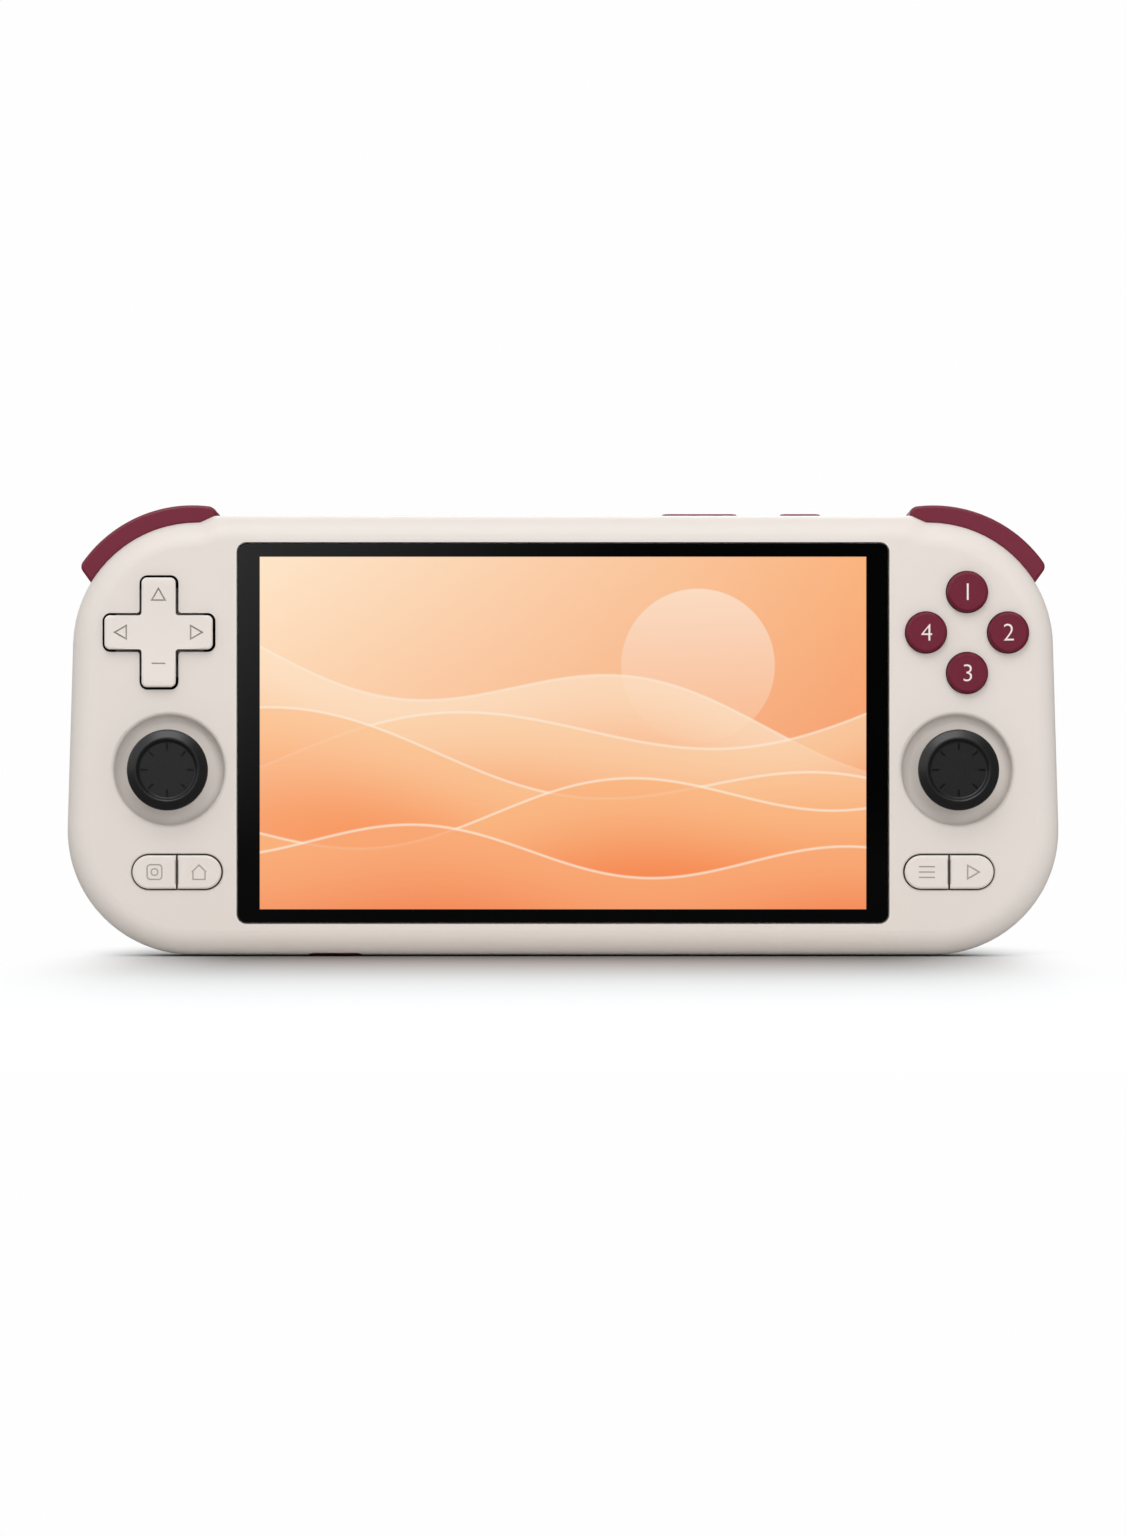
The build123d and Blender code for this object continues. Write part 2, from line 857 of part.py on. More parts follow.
# Screen glass, bonded to the display panel behind it
with BuildPart() as screen_glass:
    with BuildSketch(facing(glass_back)):
        with Locations((0, screen_middle)):
            RectangleRounded(glass_width, glass_height, glass_corner)
    extrude(amount=glass_thickness)
    chamfer(screen_glass.faces().sort_by(Axis.Y)[0].edges(), glass_bevel)
save(screen_glass, "screen_glass")

with BuildPart() as display_panel:
    with BuildSketch(facing(display_back)):
        with Locations((0, screen_middle)):
            Rectangle(display_width, display_height)
    extrude(amount=display_thickness)
save(display_panel, "display_panel")

# Metal mid frame, with standoffs for the main board
with BuildPart() as mid_frame:
    with BuildSketch(facing(frame_back)):
        with Locations((0, (frame_bottom + frame_top) / 2)):
            RectangleRounded(2 * frame_half_width, frame_top - frame_bottom, frame_corner)
    extrude(amount=frame_thickness)
    extrude(discs(board_front, board_hole_places, standoff_radius), amount=standoff + frame_thickness / 2)
    extrude(discs(board_front, board_hole_places, screw_radius + fit), amount=shell_depth, mode=Mode.SUBTRACT)
    extrude(discs(frame_back, frame_boss_places, screw_radius + slip), amount=shell_depth, mode=Mode.SUBTRACT)
save(mid_frame, "mid_frame")

with BuildPart() as main_board:
    with BuildSketch(facing(board_back)):
        with Locations((0, (board_bottom + board_top) / 2)):
            RectangleRounded(2 * board_half_width, board_top - board_bottom, board_corner)
    extrude(amount=board_thickness)
    with BuildSketch(facing(board_back)):
        with Locations((0, shield_bottom + shield_height / 2)):
            with GridLocations(chip_pitch, 0, 3, 1):
                Rectangle(chip_size, chip_size)
    extrude(amount=-chip_depth)
    screw_holes = discs(board_back, board_hole_places, screw_radius + slip)
    extrude(screw_holes, amount=board_thickness, mode=Mode.SUBTRACT)
save(main_board, "main_board")

# Shield can over the chips, open towards the board
with BuildPart() as main_board_shield:
    with BuildSketch(facing(board_back + shield_depth)):
        with Locations((0, shield_bottom + shield_height / 2)):
            Rectangle(shield_width, shield_height)
    extrude(amount=shield_depth)
    with BuildSketch(facing(board_back + shield_depth - shield_sheet)):
        with Locations((0, shield_bottom + shield_height / 2)):
            Rectangle(shield_width - 2 * shield_sheet, shield_height - 2 * shield_sheet)
    extrude(amount=shield_depth, mode=Mode.SUBTRACT)
save(main_board_shield, "main_board_shield")

with BuildPart() as heat_spreader:
    with BuildSketch(facing(board_back + shield_depth + spreader_thickness)):
        with Locations((0, shield_bottom + shield_height / 2)):
            RectangleRounded(shield_width + 2 * spreader_margin, shield_height, spreader_margin)
    extrude(amount=spreader_thickness)
save(heat_spreader, "heat_spreader")

with BuildPart() as battery:
    with BuildSketch(facing(frame_back + battery_thickness)):
        with Locations((0, battery_bottom + battery_height / 2)):
            Rectangle(battery_width, battery_height)
    extrude(amount=battery_thickness)
    fillet(battery.edges().filter_by(Axis.X), battery_corner)
save(battery, "battery")

# Direction pad: dished cross on a round flange, with a cup for its pivot ball
with BuildPart() as dpad:
    cross = cross_profile(-dpad_flange_back, -control_x, 0)
    extrude(cross, amount=shell_depth + dpad_proud - dpad_flange_back)
    fillet(dpad.faces().sort_by(Axis.Y)[0].edges(), dpad_edge_round)
    with BuildSketch(facing(-dpad_flange_back)):
        with Locations((-control_x, control_z)):
            Circle(dpad_flange_radius)
    extrude(amount=dpad_flange_front - dpad_flange_back)
    with BuildSketch(facing(-dpad_hub_back)):
        with Locations((-control_x, control_z)):
            Circle(dpad_hub_radius)
    extrude(amount=dpad_flange_back - dpad_hub_back)
    top = -shell_depth - dpad_proud
    dish_reach = dpad_width / 2 - 2 * dpad_edge_round
    dish_radius = (dish_reach**2 + dpad_dish**2) / (2 * dpad_dish)
    with Locations((-control_x, top + dpad_dish - dish_radius, control_z)):
        Sphere(dish_radius, mode=Mode.SUBTRACT)
    with Locations((-control_x, -dpad_pivot, control_z)):
        Sphere(dpad_ball_radius + running, mode=Mode.SUBTRACT)
    # Arrow heads on three arms and a bar on the lower one
    mark_inside = dpad_mark_width - 4 * mark_line
    with BuildSketch(facing(top + dpad_dish + mark_depth)):
        for angle in (0, 90, 180):
            reach_x = dpad_mark_radius * cos(radians(angle))
            reach_z = dpad_mark_radius * sin(radians(angle))
            with Locations(Location((reach_x - control_x, reach_z + control_z), angle - 90)):
                Triangle(a=dpad_mark_width, b=dpad_mark_width, c=dpad_mark_width)
                Triangle(a=mark_inside, b=mark_inside, c=mark_inside, mode=Mode.SUBTRACT)
        with Locations((-control_x, control_z - dpad_bar_radius)):
            Rectangle(dpad_bar_width, mark_line)
    extrude(amount=dpad_proud, mode=Mode.SUBTRACT)
save(dpad, "dpad")

with BuildPart() as dpad_pivot_ball:
    with Locations((-control_x, -dpad_pivot, control_z)):
        Sphere(dpad_ball_radius)
save(dpad_pivot_ball, "dpad_pivot_ball")

# Face buttons, each a cap on a flange with a stem behind
for name, (x, z) in face_places.items():
    with BuildPart() as face_button:
        cap = discs(inner_face + slip, [(x, z)], face_radius)
        extrude(cap, amount=shell_depth + face_proud + inner_face + slip)
        chamfer(face_button.faces().sort_by(Axis.Y)[0].edges(), face_edge)
        # Flange with a flat on its outer side
        with BuildSketch(facing(inner_face + slip + face_flange_depth)):
            with Locations((x, z)):
                Circle(face_radius + face_flange)
            with Locations((x + face_flat + face_radius, z)):
                Rectangle(2 * face_radius, 4 * face_radius, mode=Mode.SUBTRACT)
        extrude(amount=face_flange_depth)
        extrude(
            discs(-face_stem_end, [(x, z)], face_stem_radius),
            amount=-face_stem_end - inner_face - slip - face_flange_depth,
        )
    save(face_button, f"face_button_{name}")


def dome_sheet(x, places, foot, top, top_y):
    """Rubber sheet in front of a control board, with a dome at each place."""
    with BuildPart() as sheet:
        extrude(discs(board_front, [(x, control_z)], membrane_radius), amount=membrane_thickness)
        for place in places:
            loft([
                discs(board_front - membrane_thickness, [place], foot),
                discs(top_y, [place], top),
            ])
    return sheet


face_button_membrane = dome_sheet(
    control_x, face_places.values(), dome_foot, dome_top, -face_stem_end + running
)
save(face_button_membrane, "face_button_membrane")

dpad_dome_places = [
    (-control_x + dpad_dome_radius * cos(radians(angle)), control_z + dpad_dome_radius * sin(radians(angle)))
    for angle in (0, 90, 180, 270)
]
with BuildPart() as dpad_membrane:
    dome_end = -dpad_flange_back + running
    add(dome_sheet(-control_x, dpad_dome_places, dpad_dome_foot, dpad_dome_top, dome_end).part)
    extrude(
        discs(board_front, [(-control_x, control_z)], dpad_post_radius + slip),
        amount=shell_depth,
        mode=Mode.SUBTRACT,
    )
save(dpad_membrane, "dpad_membrane")


def pill_icon(kind, x, y):
    """Line drawing for one of the small buttons, centred at x."""
    with BuildSketch(facing(y)) as icon:
        with Locations((x, pill_z)):
            if kind == "capture":
                RectangleRounded(icon_size, icon_size, icon_size / 4)
                inner = icon_size - 2 * mark_line
                RectangleRounded(inner, inner, icon_size / 4 - mark_line, mode=Mode.SUBTRACT)
                Circle(icon_size / 4)
                Circle(icon_size / 4 - mark_line, mode=Mode.SUBTRACT)
            if kind == "menu":
                with GridLocations(0, icon_size / icon_rows, 1, icon_rows):
                    Rectangle(icon_size, mark_line)
            if kind == "start":
                inside = icon_size - 4 * mark_line
                with Locations(Location((0, 0), -90)):
                    Triangle(a=icon_size, b=icon_size, c=icon_size)
                    Triangle(a=inside, b=inside, c=inside, mode=Mode.SUBTRACT)
            if kind == "home":
                half = icon_size / 2
                with BuildLine():
                    Polyline(
                        (x - half, pill_z),
                        (x, pill_z + half),
                        (x + half, pill_z),
                        (x + half - mark_line, pill_z),
                        (x + half - mark_line, pill_z - half),
                        (x - half + mark_line, pill_z - half),
                        (x - half + mark_line, pill_z),
                        close=True,
                    )
                make_face()
                offset(amount=-mark_line, mode=Mode.SUBTRACT)
    return icon.sketch


# Small buttons: each pair fills one pill-shaped hole
small_buttons = {"capture": (-1, -1), "home": (-1, 1), "menu": (1, -1), "start": (1, 1)}
for name, (side, half) in small_buttons.items():
    middle = side * pill_x
    icon_x = middle + half * pill_width / 4
    with BuildPart() as small_button:
        with BuildSketch(facing(inner_face + slip)):
            with Locations((middle, pill_z)):
                SlotOverall(pill_width, pill_height)
            with Locations((middle - half * pill_width / 2, pill_z)):
                Rectangle(pill_width + pill_split, pill_height, mode=Mode.SUBTRACT)
        extrude(amount=shell_depth + pill_proud + inner_face + slip)
        fillet(small_button.faces().sort_by(Axis.Y)[0].edges(), pill_edge)
        with BuildSketch(facing(inner_face + slip + pill_flange_depth)):
            with Locations((middle, pill_z)):
                SlotOverall(pill_width + 2 * pill_flange, pill_height + 2 * pill_flange)
            with Locations((middle - half * pill_width, pill_z)):
                Rectangle(2 * pill_width + pill_split, 2 * pill_height, mode=Mode.SUBTRACT)
        extrude(amount=pill_flange_depth)
        extrude(
            discs(-pill_stem_end, [(icon_x, pill_z)], pill_stem_radius),
            amount=-pill_stem_end - inner_face - slip - pill_flange_depth,
        )
        extrude(
            pill_icon(name, icon_x, -shell_depth - pill_proud + mark_depth),
            amount=mark_depth + slip,
            mode=Mode.SUBTRACT,
        )
    save(small_button, f"{name}_button")

# Rubber pads under the small buttons
with BuildPart() as small_button_pads:
    for side in (1, -1):
        with BuildSketch(facing(board_front)):
            with Locations((side * pill_x, pill_z)):
                RectangleRounded(pill_width - pill_pad_margin, pill_height - pill_pad_margin, pill_pad_margin)
        extrude(amount=membrane_thickness)
        for half in (1, -1):
            place = (side * pill_x + half * pill_width / 4, pill_z)
            loft([
                discs(board_front - membrane_thickness, [place], dpad_dome_foot),
                discs(-pill_stem_end + running, [place], dpad_dome_top),
            ])
save(small_button_pads, "small_button_pads")


def from_pivot(depth):
    """Depth y of a plane that lies the given distance in front of the stick pivot."""
    return stick_pivot_y - depth


def square(y, half):
    """Square round the right-hand stick at depth y."""
    with BuildSketch(facing(y)) as found:
        with Locations((stick_x, stick_z)):
            Rectangle(2 * half, 2 * half)
    return found.sketch


def bearing(plane, place, radius):
    """Round section of a bearing pin or its hole."""
    with BuildSketch(plane) as found:
        with Locations(place):
            Circle(radius)
    return found.sketch


# Stick cap: dished top on a neck, with a ball-shaped skirt that closes the bowl's hole
with BuildPart() as stick_cap:
    with BuildSketch(turning(stick_x, stick_z)):
        with BuildLine():
            FilletPolyline(
                (0, from_pivot(cap_dish)),
                (cap_dish_radius, from_pivot(cap_dish)),
                (cap_crest_inner, from_pivot(cap_top)),
                (cap_crest_outer, from_pivot(cap_top)),
                (cap_radius, from_pivot(cap_edge)),
                (cap_radius, from_pivot(cap_edge_bottom)),
                (cap_under_radius, from_pivot(cap_under)),
                (neck_radius, from_pivot(cap_cone_root)),
                (neck_radius, from_pivot((dome_inner + dome_outer) / 2)),
                (0, from_pivot((dome_inner + dome_outer) / 2)),
                radius=[0, *cap_rounds, 0, 0],
                close=True,
            )
        make_face()
    revolve(axis=line_along_y(stick_x, stick_z))
    with BuildSketch(turning(stick_x, stick_z)):
        with BuildLine():
            outside = CenterArc((0, stick_pivot_y), dome_outer, -90, dome_angle)
            inside = CenterArc((0, stick_pivot_y), dome_inner, -90, dome_angle)
            Line(outside @ 0, inside @ 0)
            Line(outside @ 1, inside @ 1)
        make_face()
    revolve(axis=line_along_y(stick_x, stick_z))
    extrude(discs(stick_pivot_y, stick_line, stem_radius + fit), amount=stem_front + slip, mode=Mode.SUBTRACT)
    with BuildSketch(facing(from_pivot(cap_dish - tick_depth))):
        with Locations((stick_x, stick_z)):
            with PolarLocations((tick_inner + tick_outer) / 2, tick_count):
                Rectangle(tick_outer - tick_inner, tick_width)
    extrude(amount=tick_depth + slip, mode=Mode.SUBTRACT)
save_pair(stick_cap, "stick_cap")

with BuildPart() as stick_stem:
    extrude(discs(from_pivot(-stem_back), stick_line, stem_radius), amount=stem_front + stem_back)
    chamfer(stick_stem.faces().sort_by(Axis.Y)[-1].edges(), stem_end_bevel)
save_pair(stick_stem, "stick_stem")

# Rocker: block with a bore for the stem, on two pins along Z
with BuildPart() as stick_rocker:
    extrude(square(from_pivot(-rocker_half_depth), rocker_half), amount=2 * rocker_half_depth)
    pin_foot = Plane.XY.offset(stick_z - rocker_pin_end)
    extrude(bearing(pin_foot, (stick_x, stick_pivot_y), rocker_pin_radius), amount=2 * rocker_pin_end)
    extrude(
        discs(from_pivot(-rocker_half_depth), stick_line, stem_radius + running),
        amount=2 * rocker_half_depth,
        mode=Mode.SUBTRACT,
    )
save_pair(stick_rocker, "stick_rocker")

# Yoke: ring round the rocker, on two pins along X
with BuildPart() as stick_yoke:
    with BuildSketch(facing(from_pivot(-ring_half_depth))):
        with Locations((stick_x, stick_z)):
            RectangleRounded(2 * ring_outer, 2 * ring_outer, ring_corner)
    extrude(amount=2 * ring_half_depth)
    pin_foot = Plane.YZ.offset(stick_x - upright_outer)
    extrude(bearing(pin_foot, (stick_pivot_y, stick_z), ring_pin_radius), amount=2 * upright_outer)
    extrude(square(from_pivot(-ring_half_depth), ring_inner), amount=2 * ring_half_depth, mode=Mode.SUBTRACT)
    hole_foot = Plane.XY.offset(stick_z - ring_outer - slip)
    extrude(
        bearing(hole_foot, (stick_x, stick_pivot_y), rocker_pin_radius + running),
        amount=2 * (ring_outer + slip),
        mode=Mode.SUBTRACT,
    )
save_pair(stick_yoke, "stick_yoke")

# Housing: open box with two uprights for the yoke, and a flange behind the control board
with BuildPart() as stick_housing:
    extrude(square(from_pivot(-housing_back), housing_half), amount=housing_back + housing_front)
    extrude(
        square(board_back + housing_flange_depth, housing_half + housing_flange),
        amount=housing_flange_depth,
    )
    floor_y = from_pivot(housing_floor - housing_back)
    extrude(square(floor_y, housing_half - housing_wall), amount=shell_depth, mode=Mode.SUBTRACT)
    with BuildSketch(facing(floor_y)):
        with Locations((stick_x, stick_z)):
            with GridLocations(upright_inner + upright_outer, 0, 2, 1):
                Rectangle(upright_outer - upright_inner, 2 * upright_half)
    extrude(amount=housing_back - housing_floor + upright_front)
    hole_foot = Plane.YZ.offset(stick_x - upright_outer - slip)
    extrude(
        bearing(hole_foot, (stick_pivot_y, stick_z), ring_pin_radius + running),
        amount=2 * (upright_outer + slip),
        mode=Mode.SUBTRACT,
    )
    extrude(discs(floor_y, stick_line, click_button_radius), amount=click_button_depth)
save_pair(stick_housing, "stick_housing")


def control_board(side):
    """Control board of one wing, cut out for its stick and for the case bosses."""
    with BuildPart() as board:
        extrude(body_profile(board_back, seat_depth + seat_thickness + board_margin), amount=board_thickness)
        with BuildSketch(facing(board_back)):
            width = half_width_bottom - wing_board_inner_x
            middle_z = (wing_board_bottom + wing_board_top) / 2
            with Locations((side * (wing_board_inner_x + width / 2), middle_z)):
                Rectangle(width, wing_board_top - wing_board_bottom)
        extrude(amount=board_thickness, mode=Mode.INTERSECT)
        with BuildSketch(facing(board_back)):
            with Locations((side * stick_x, stick_z)):
                Rectangle(2 * (housing_half + slip), 2 * (housing_half + slip))
            with Locations(*[(side * x, z) for x, z in case_boss_places]):
                Circle(boss_radius + boss_margin)
            with Locations(*[(side * x, z) for x, z in board_boss_places]):
                Circle(screw_radius + slip)
        extrude(amount=board_thickness, mode=Mode.SUBTRACT)
    return board


save(control_board(1), "right_control_board")

# The left board also carries the post and cup for the direction pad's pivot ball
with BuildPart() as left_control_board:
    add(control_board(-1).part)
    extrude(
        discs(board_front, [(-control_x, control_z)], dpad_post_radius),
        amount=board_front + dpad_post_front,
    )
    with Locations((-control_x, -dpad_pivot, control_z)):
        Sphere(dpad_ball_radius + running, mode=Mode.SUBTRACT)
save(left_control_board, "left_control_board")


def shoulder_key(back, front, shrink, ear_middle):
    """Shoulder key between two depths, with its hinge ear."""
    foot_z = shoulder_z + key_foot_radius
    with BuildPart() as key:
        extrude(key_profile(back, shrink), amount=back - front)
        fillet(key.faces().filter_by(Axis.Y).edges(), key_edge_round)
        with BuildSketch(facing(ear_middle + ear_thickness / 2)):
            with Locations(hinge):
                Circle(ear_radius)
            with Locations((hinge[0], (hinge[1] + foot_z) / 2)):
                Rectangle(2 * ear_radius, foot_z - hinge[1] + key_edge_round)
        extrude(amount=ear_thickness)
        extrude(
            discs(ear_middle + ear_thickness, [hinge], hinge_pin_radius + running),
            amount=2 * ear_thickness,
            mode=Mode.SUBTRACT,
        )
    return key


save_pair(shoulder_key(bumper_back, key_front, 0, bumper_ear_middle), "bumper")
save_pair(shoulder_key(trigger_back, trigger_front, trigger_shrink, trigger_ear_middle), "trigger")

# Shoulder bracket: curved seat under both keys, ribs for the hinge pin and a tab for a case screw
bracket_front = lip_back + slip
bracket_back = shell_depth - slip
bracket_low_angle = trigger_opening_angle + bracket_angle_gap
bracket_end_x = opening_x - bracket_end_gap - bracket_end_wall
with BuildPart() as shoulder_bracket:
    with BuildSketch(facing(bracket_back)):
        with BuildLine():
            arc_size = 90 - bracket_low_angle
            outside = CenterArc((shoulder_x, shoulder_z), seat_radius, bracket_low_angle, arc_size)
            inside = CenterArc((shoulder_x, shoulder_z), seat_inner_radius, bracket_low_angle, arc_size)
            Polyline(
                outside @ 1,
                (opening_x + seat_clearance, shoulder_z + seat_radius),
                (opening_x + seat_clearance, shoulder_z + seat_inner_radius),
                inside @ 1,
            )
            Line(inside @ 0, outside @ 0)
        make_face()
    extrude(amount=bracket_back - bracket_front)
    # Inner end, which stops short of the rounded back of the shell
    with BuildSketch(facing(bracket_end_back)):
        with BuildLine():
            Polyline(
                (bracket_end_x, shoulder_z + seat_inner_radius),
                (opening_x + ear_slot, shoulder_z + seat_inner_radius),
                (opening_x + ear_slot, shoulder_z + seat_radius),
                (bracket_end_x + bracket_end_wall, shoulder_z + seat_radius),
                (bracket_end_x + bracket_end_wall, body_height - wall - bracket_end_drop),
                (bracket_end_x, body_height - wall - bracket_end_drop),
                close=True,
            )
        make_face()
    extrude(amount=bracket_end_back - bracket_front)
    with BuildSketch(facing(0)):
        with Locations((boss_column_x, boss_high)):
            Circle(rear_boss_radius)
        with Locations((boss_column_x, (boss_high + shoulder_z + seat_inner_radius) / 2)):
            Rectangle(2 * rear_boss_radius, shoulder_z + seat_inner_radius - boss_high + seat_thickness / 2)
    extrude(amount=bracket_tab)
    rib_foot = hinge[1] - hinge_rib_drop
    floor_z = shoulder_z + seat_inner_radius
    for middle in (bumper_ear_middle, trigger_ear_middle):
        for side in (1, -1):
            rib_middle = middle + side * (ear_thickness / 2 + ear_gap + hinge_rib / 2)
            with BuildSketch(facing(rib_middle + hinge_rib / 2)):
                with Locations((hinge[0], (rib_foot + floor_z) / 2)):
                    Rectangle(2 * hinge_rib_half, floor_z - rib_foot + seat_thickness / 2)
            extrude(amount=hinge_rib)
        slot_depth = ear_thickness + 2 * ear_gap
        with BuildSketch(facing(middle + slot_depth / 2)):
            with Locations((hinge[0], (rib_foot + shoulder_z + seat_radius) / 2)):
                Rectangle(2 * (ear_radius + ear_slot), shoulder_z + seat_radius - rib_foot + ear_radius)
        extrude(amount=slot_depth, mode=Mode.SUBTRACT)
    extrude(discs(bracket_back, [hinge], hinge_pin_radius + fit), amount=2 * bracket_back, mode=Mode.SUBTRACT)
    extrude(
        discs(overrun, [(boss_column_x, boss_high)], case_screw_radius + slip),
        amount=bracket_tab + 2 * overrun,
        mode=Mode.SUBTRACT,
    )
save_pair(shoulder_bracket, "shoulder_bracket")

pin_back = trigger_ear_middle + ear_thickness / 2 + ear_gap + hinge_rib
pin_front = bumper_ear_middle - ear_thickness / 2 - ear_gap - hinge_rib
with BuildPart() as shoulder_pin:
    extrude(discs(pin_back, [hinge], hinge_pin_radius), amount=pin_back - pin_front)
save_pair(shoulder_pin, "shoulder_pin")

# Leaf spring between the seat and the trigger
with BuildPart() as trigger_spring:
    with BuildSketch(facing(spring_middle + spring_width / 2)):
        with BuildLine():
            Polyline(
                on_shoulder(seat_radius + spring_sheet, spring_angles[0]),
                on_shoulder(seat_radius + spring_sheet, spring_angles[1]),
                on_shoulder(key_foot_radius - spring_sheet, spring_angles[2]),
            )
        trace(line_width=spring_sheet)
    extrude(amount=spring_width)
save_pair(trigger_spring, "trigger_spring")

# Tact switches under the shoulder keys and the keys on the top edge
with BuildPart() as tact_switches:
    stations = [
        turned((x, 0, side_board_top), (0, 0, 1))
        for x in (volume_x - volume_switch_offset, volume_x + volume_switch_offset, power_x)
    ]
    for side in (1, -1):
        for angle, y in (
            (bumper_switch_angle, bumper_switch_y),
            (trigger_switch_angle, trigger_switch_y),
        ):
            x, z = on_shoulder(seat_radius, angle)
            out = (side * cos(radians(angle)), 0, sin(radians(angle)))
            stations.append(turned((side * x, y, z), out))
    for station in stations:
        with BuildSketch(station):
            Rectangle(switch_length, switch_width)
        extrude(amount=switch_height)
        with BuildSketch(station):
            Circle(plunger_radius)
        extrude(amount=switch_height + plunger_height)
save(tact_switches, "tact_switches")


def side_key(x, length, flange_top):
    """Key in the top edge, with a flange under the wall."""
    with BuildPart() as key:
        with BuildSketch(Plane.XY.offset(flange_top - side_flange_depth)):
            with Locations((x, 0)):
                SlotOverall(length, side_key_depth)
        extrude(amount=body_height + side_key_proud - flange_top + side_flange_depth)
        fillet(key.faces().sort_by(Axis.Z)[-1].edges(), side_key_round)
        with BuildSketch(Plane.XY.offset(flange_top - side_flange_depth)):
            with Locations((x, 0)):
                SlotOverall(length + 2 * side_flange, side_key_depth + 2 * side_flange)
        extrude(amount=side_flange_depth)
    return key


save(side_key(volume_x, volume_length, body_height - wall - rocker_room), "volume_rocker")
save(side_key(power_x, power_length, body_height - wall - slip), "power_button")

with BuildPart() as side_key_board:
    with BuildSketch(Plane.XY.offset(side_board_bottom)):
        with Locations(((side_board_left + side_board_right) / 2, 0)):
            Rectangle(side_board_right - side_board_left, side_board_depth)
    extrude(amount=board_thickness)
save(side_key_board, "side_key_board")

with BuildPart() as usb_c_port:
    mouth = Plane.XY.offset(usb_mouth)
    with BuildSketch(mouth):
        with Locations((0, usb_middle)):
            SlotOverall(usb_width, usb_depth)
    extrude(amount=usb_length)
    with BuildSketch(mouth):
        with Locations((0, usb_middle)):
            SlotOverall(usb_width - 2 * usb_skin, usb_depth - 2 * usb_skin)
    extrude(amount=usb_length - usb_skin, mode=Mode.SUBTRACT)
    with BuildSketch(Plane.XY.offset(usb_mouth + usb_length)):
        with Locations((0, usb_middle)):
            Rectangle(usb_tongue_width, usb_tongue_depth)
    extrude(amount=-usb_tongue_length)
save(usb_c_port, "usb_c_port")

with BuildPart() as headphone_jack:
    with BuildSketch(Plane.XY.offset(jack_nose_top)):
        with Locations((jack_x, jack_middle)):
            Rectangle(2 * jack_half, 2 * jack_half)
    extrude(amount=jack_length - jack_nose_top)
    with BuildSketch(Plane.XY.offset(jack_mouth)):
        with Locations((jack_x, jack_middle)):
            Circle(jack_half)
    extrude(amount=jack_nose_top - jack_mouth)
    with BuildSketch(Plane.XY.offset(jack_mouth)):
        with Locations((jack_x, jack_middle)):
            Circle(jack_bore_radius)
    extrude(amount=jack_bore_length, mode=Mode.SUBTRACT)
save(headphone_jack, "headphone_jack")

# Card tray: face plate that follows the rounded bottom edge, and a blade with a card pocket
blade_y = board_back + socket_skin + slip + tray_blade_thickness / 2
with BuildPart() as card_tray:
    with BuildSketch(Plane.XY.offset(-overrun)):
        with Locations((tray_x, (tray_front + tray_back) / 2)):
            RectangleRounded(tray_width, tray_back - tray_front, tray_corner)
    extrude(amount=overrun + tray_plate)
    add(front_form.part, mode=Mode.INTERSECT)
    with BuildSketch(Plane.XY.offset(tray_plate / 2)):
        with Locations((tray_x, blade_y)):
            Rectangle(tray_blade_width, tray_blade_thickness)
    extrude(amount=tray_blade_length + tray_plate / 2)
    with BuildSketch(facing(blade_y + tray_blade_thickness)):
        with Locations((tray_x, tray_plate + tray_card_foot + tray_card_length / 2)):
            Rectangle(tray_card_width, tray_card_length)
    extrude(amount=3 * tray_blade_thickness / 2 - tray_card_rim, mode=Mode.SUBTRACT)
    with BuildSketch(Plane.XY.offset(-overrun)):
        with Locations((tray_x + tray_blade_width / 2 - tray_corner, (tray_front + blade_y) / 2)):
            Circle(tray_pin_radius)
    extrude(amount=2 * overrun + tray_plate, mode=Mode.SUBTRACT)
save(card_tray, "card_tray")

with BuildPart() as card_socket:
    socket_foot = Plane.XY.offset(socket_bottom)
    with BuildSketch(socket_foot):
        with Locations((tray_x, blade_y)):
            Rectangle(socket_width, tray_blade_thickness + 2 * slip + 2 * socket_skin)
    extrude(amount=socket_length)
    with BuildSketch(socket_foot):
        with Locations((tray_x, blade_y)):
            Rectangle(tray_blade_width + 2 * slip, tray_blade_thickness + 2 * slip)
    extrude(amount=socket_length - 2 * socket_skin, mode=Mode.SUBTRACT)
save(card_socket, "card_socket")

with BuildPart() as speaker:
    with BuildSketch(facing(board_back + slip + speaker_depth)):
        with Locations((speaker_inner_x + speaker_width / 2, speaker_bottom + speaker_height / 2)):
            RectangleRounded(speaker_width, speaker_height, speaker_corner)
    extrude(amount=speaker_depth)
save_pair(speaker, "speaker")

with BuildPart() as vibration_motor:
    extrude(discs(board_back + motor_depth, [(-control_x, control_z)], motor_radius), amount=motor_depth)
save(vibration_motor, "vibration_motor")

# Flat cable from each control board to the main board, with a connector at each end
with BuildPart() as board_flex:
    flex_left = board_half_width - flex_reach
    flex_right = wing_board_inner_x + flex_reach
    with BuildSketch(facing(board_back + flex_thickness)):
        with Locations(((flex_left + flex_right) / 2, flex_z)):
            Rectangle(flex_right - flex_left, flex_width)
    extrude(amount=flex_thickness)
    with BuildSketch(facing(board_back + connector_depth)):
        for x in (flex_left + connector_width / 2, flex_right - connector_width / 2):
            with Locations((x, flex_z)):
                Rectangle(connector_width, flex_width + connector_depth)
    extrude(amount=connector_depth)
save_pair(board_flex, "board_flex")

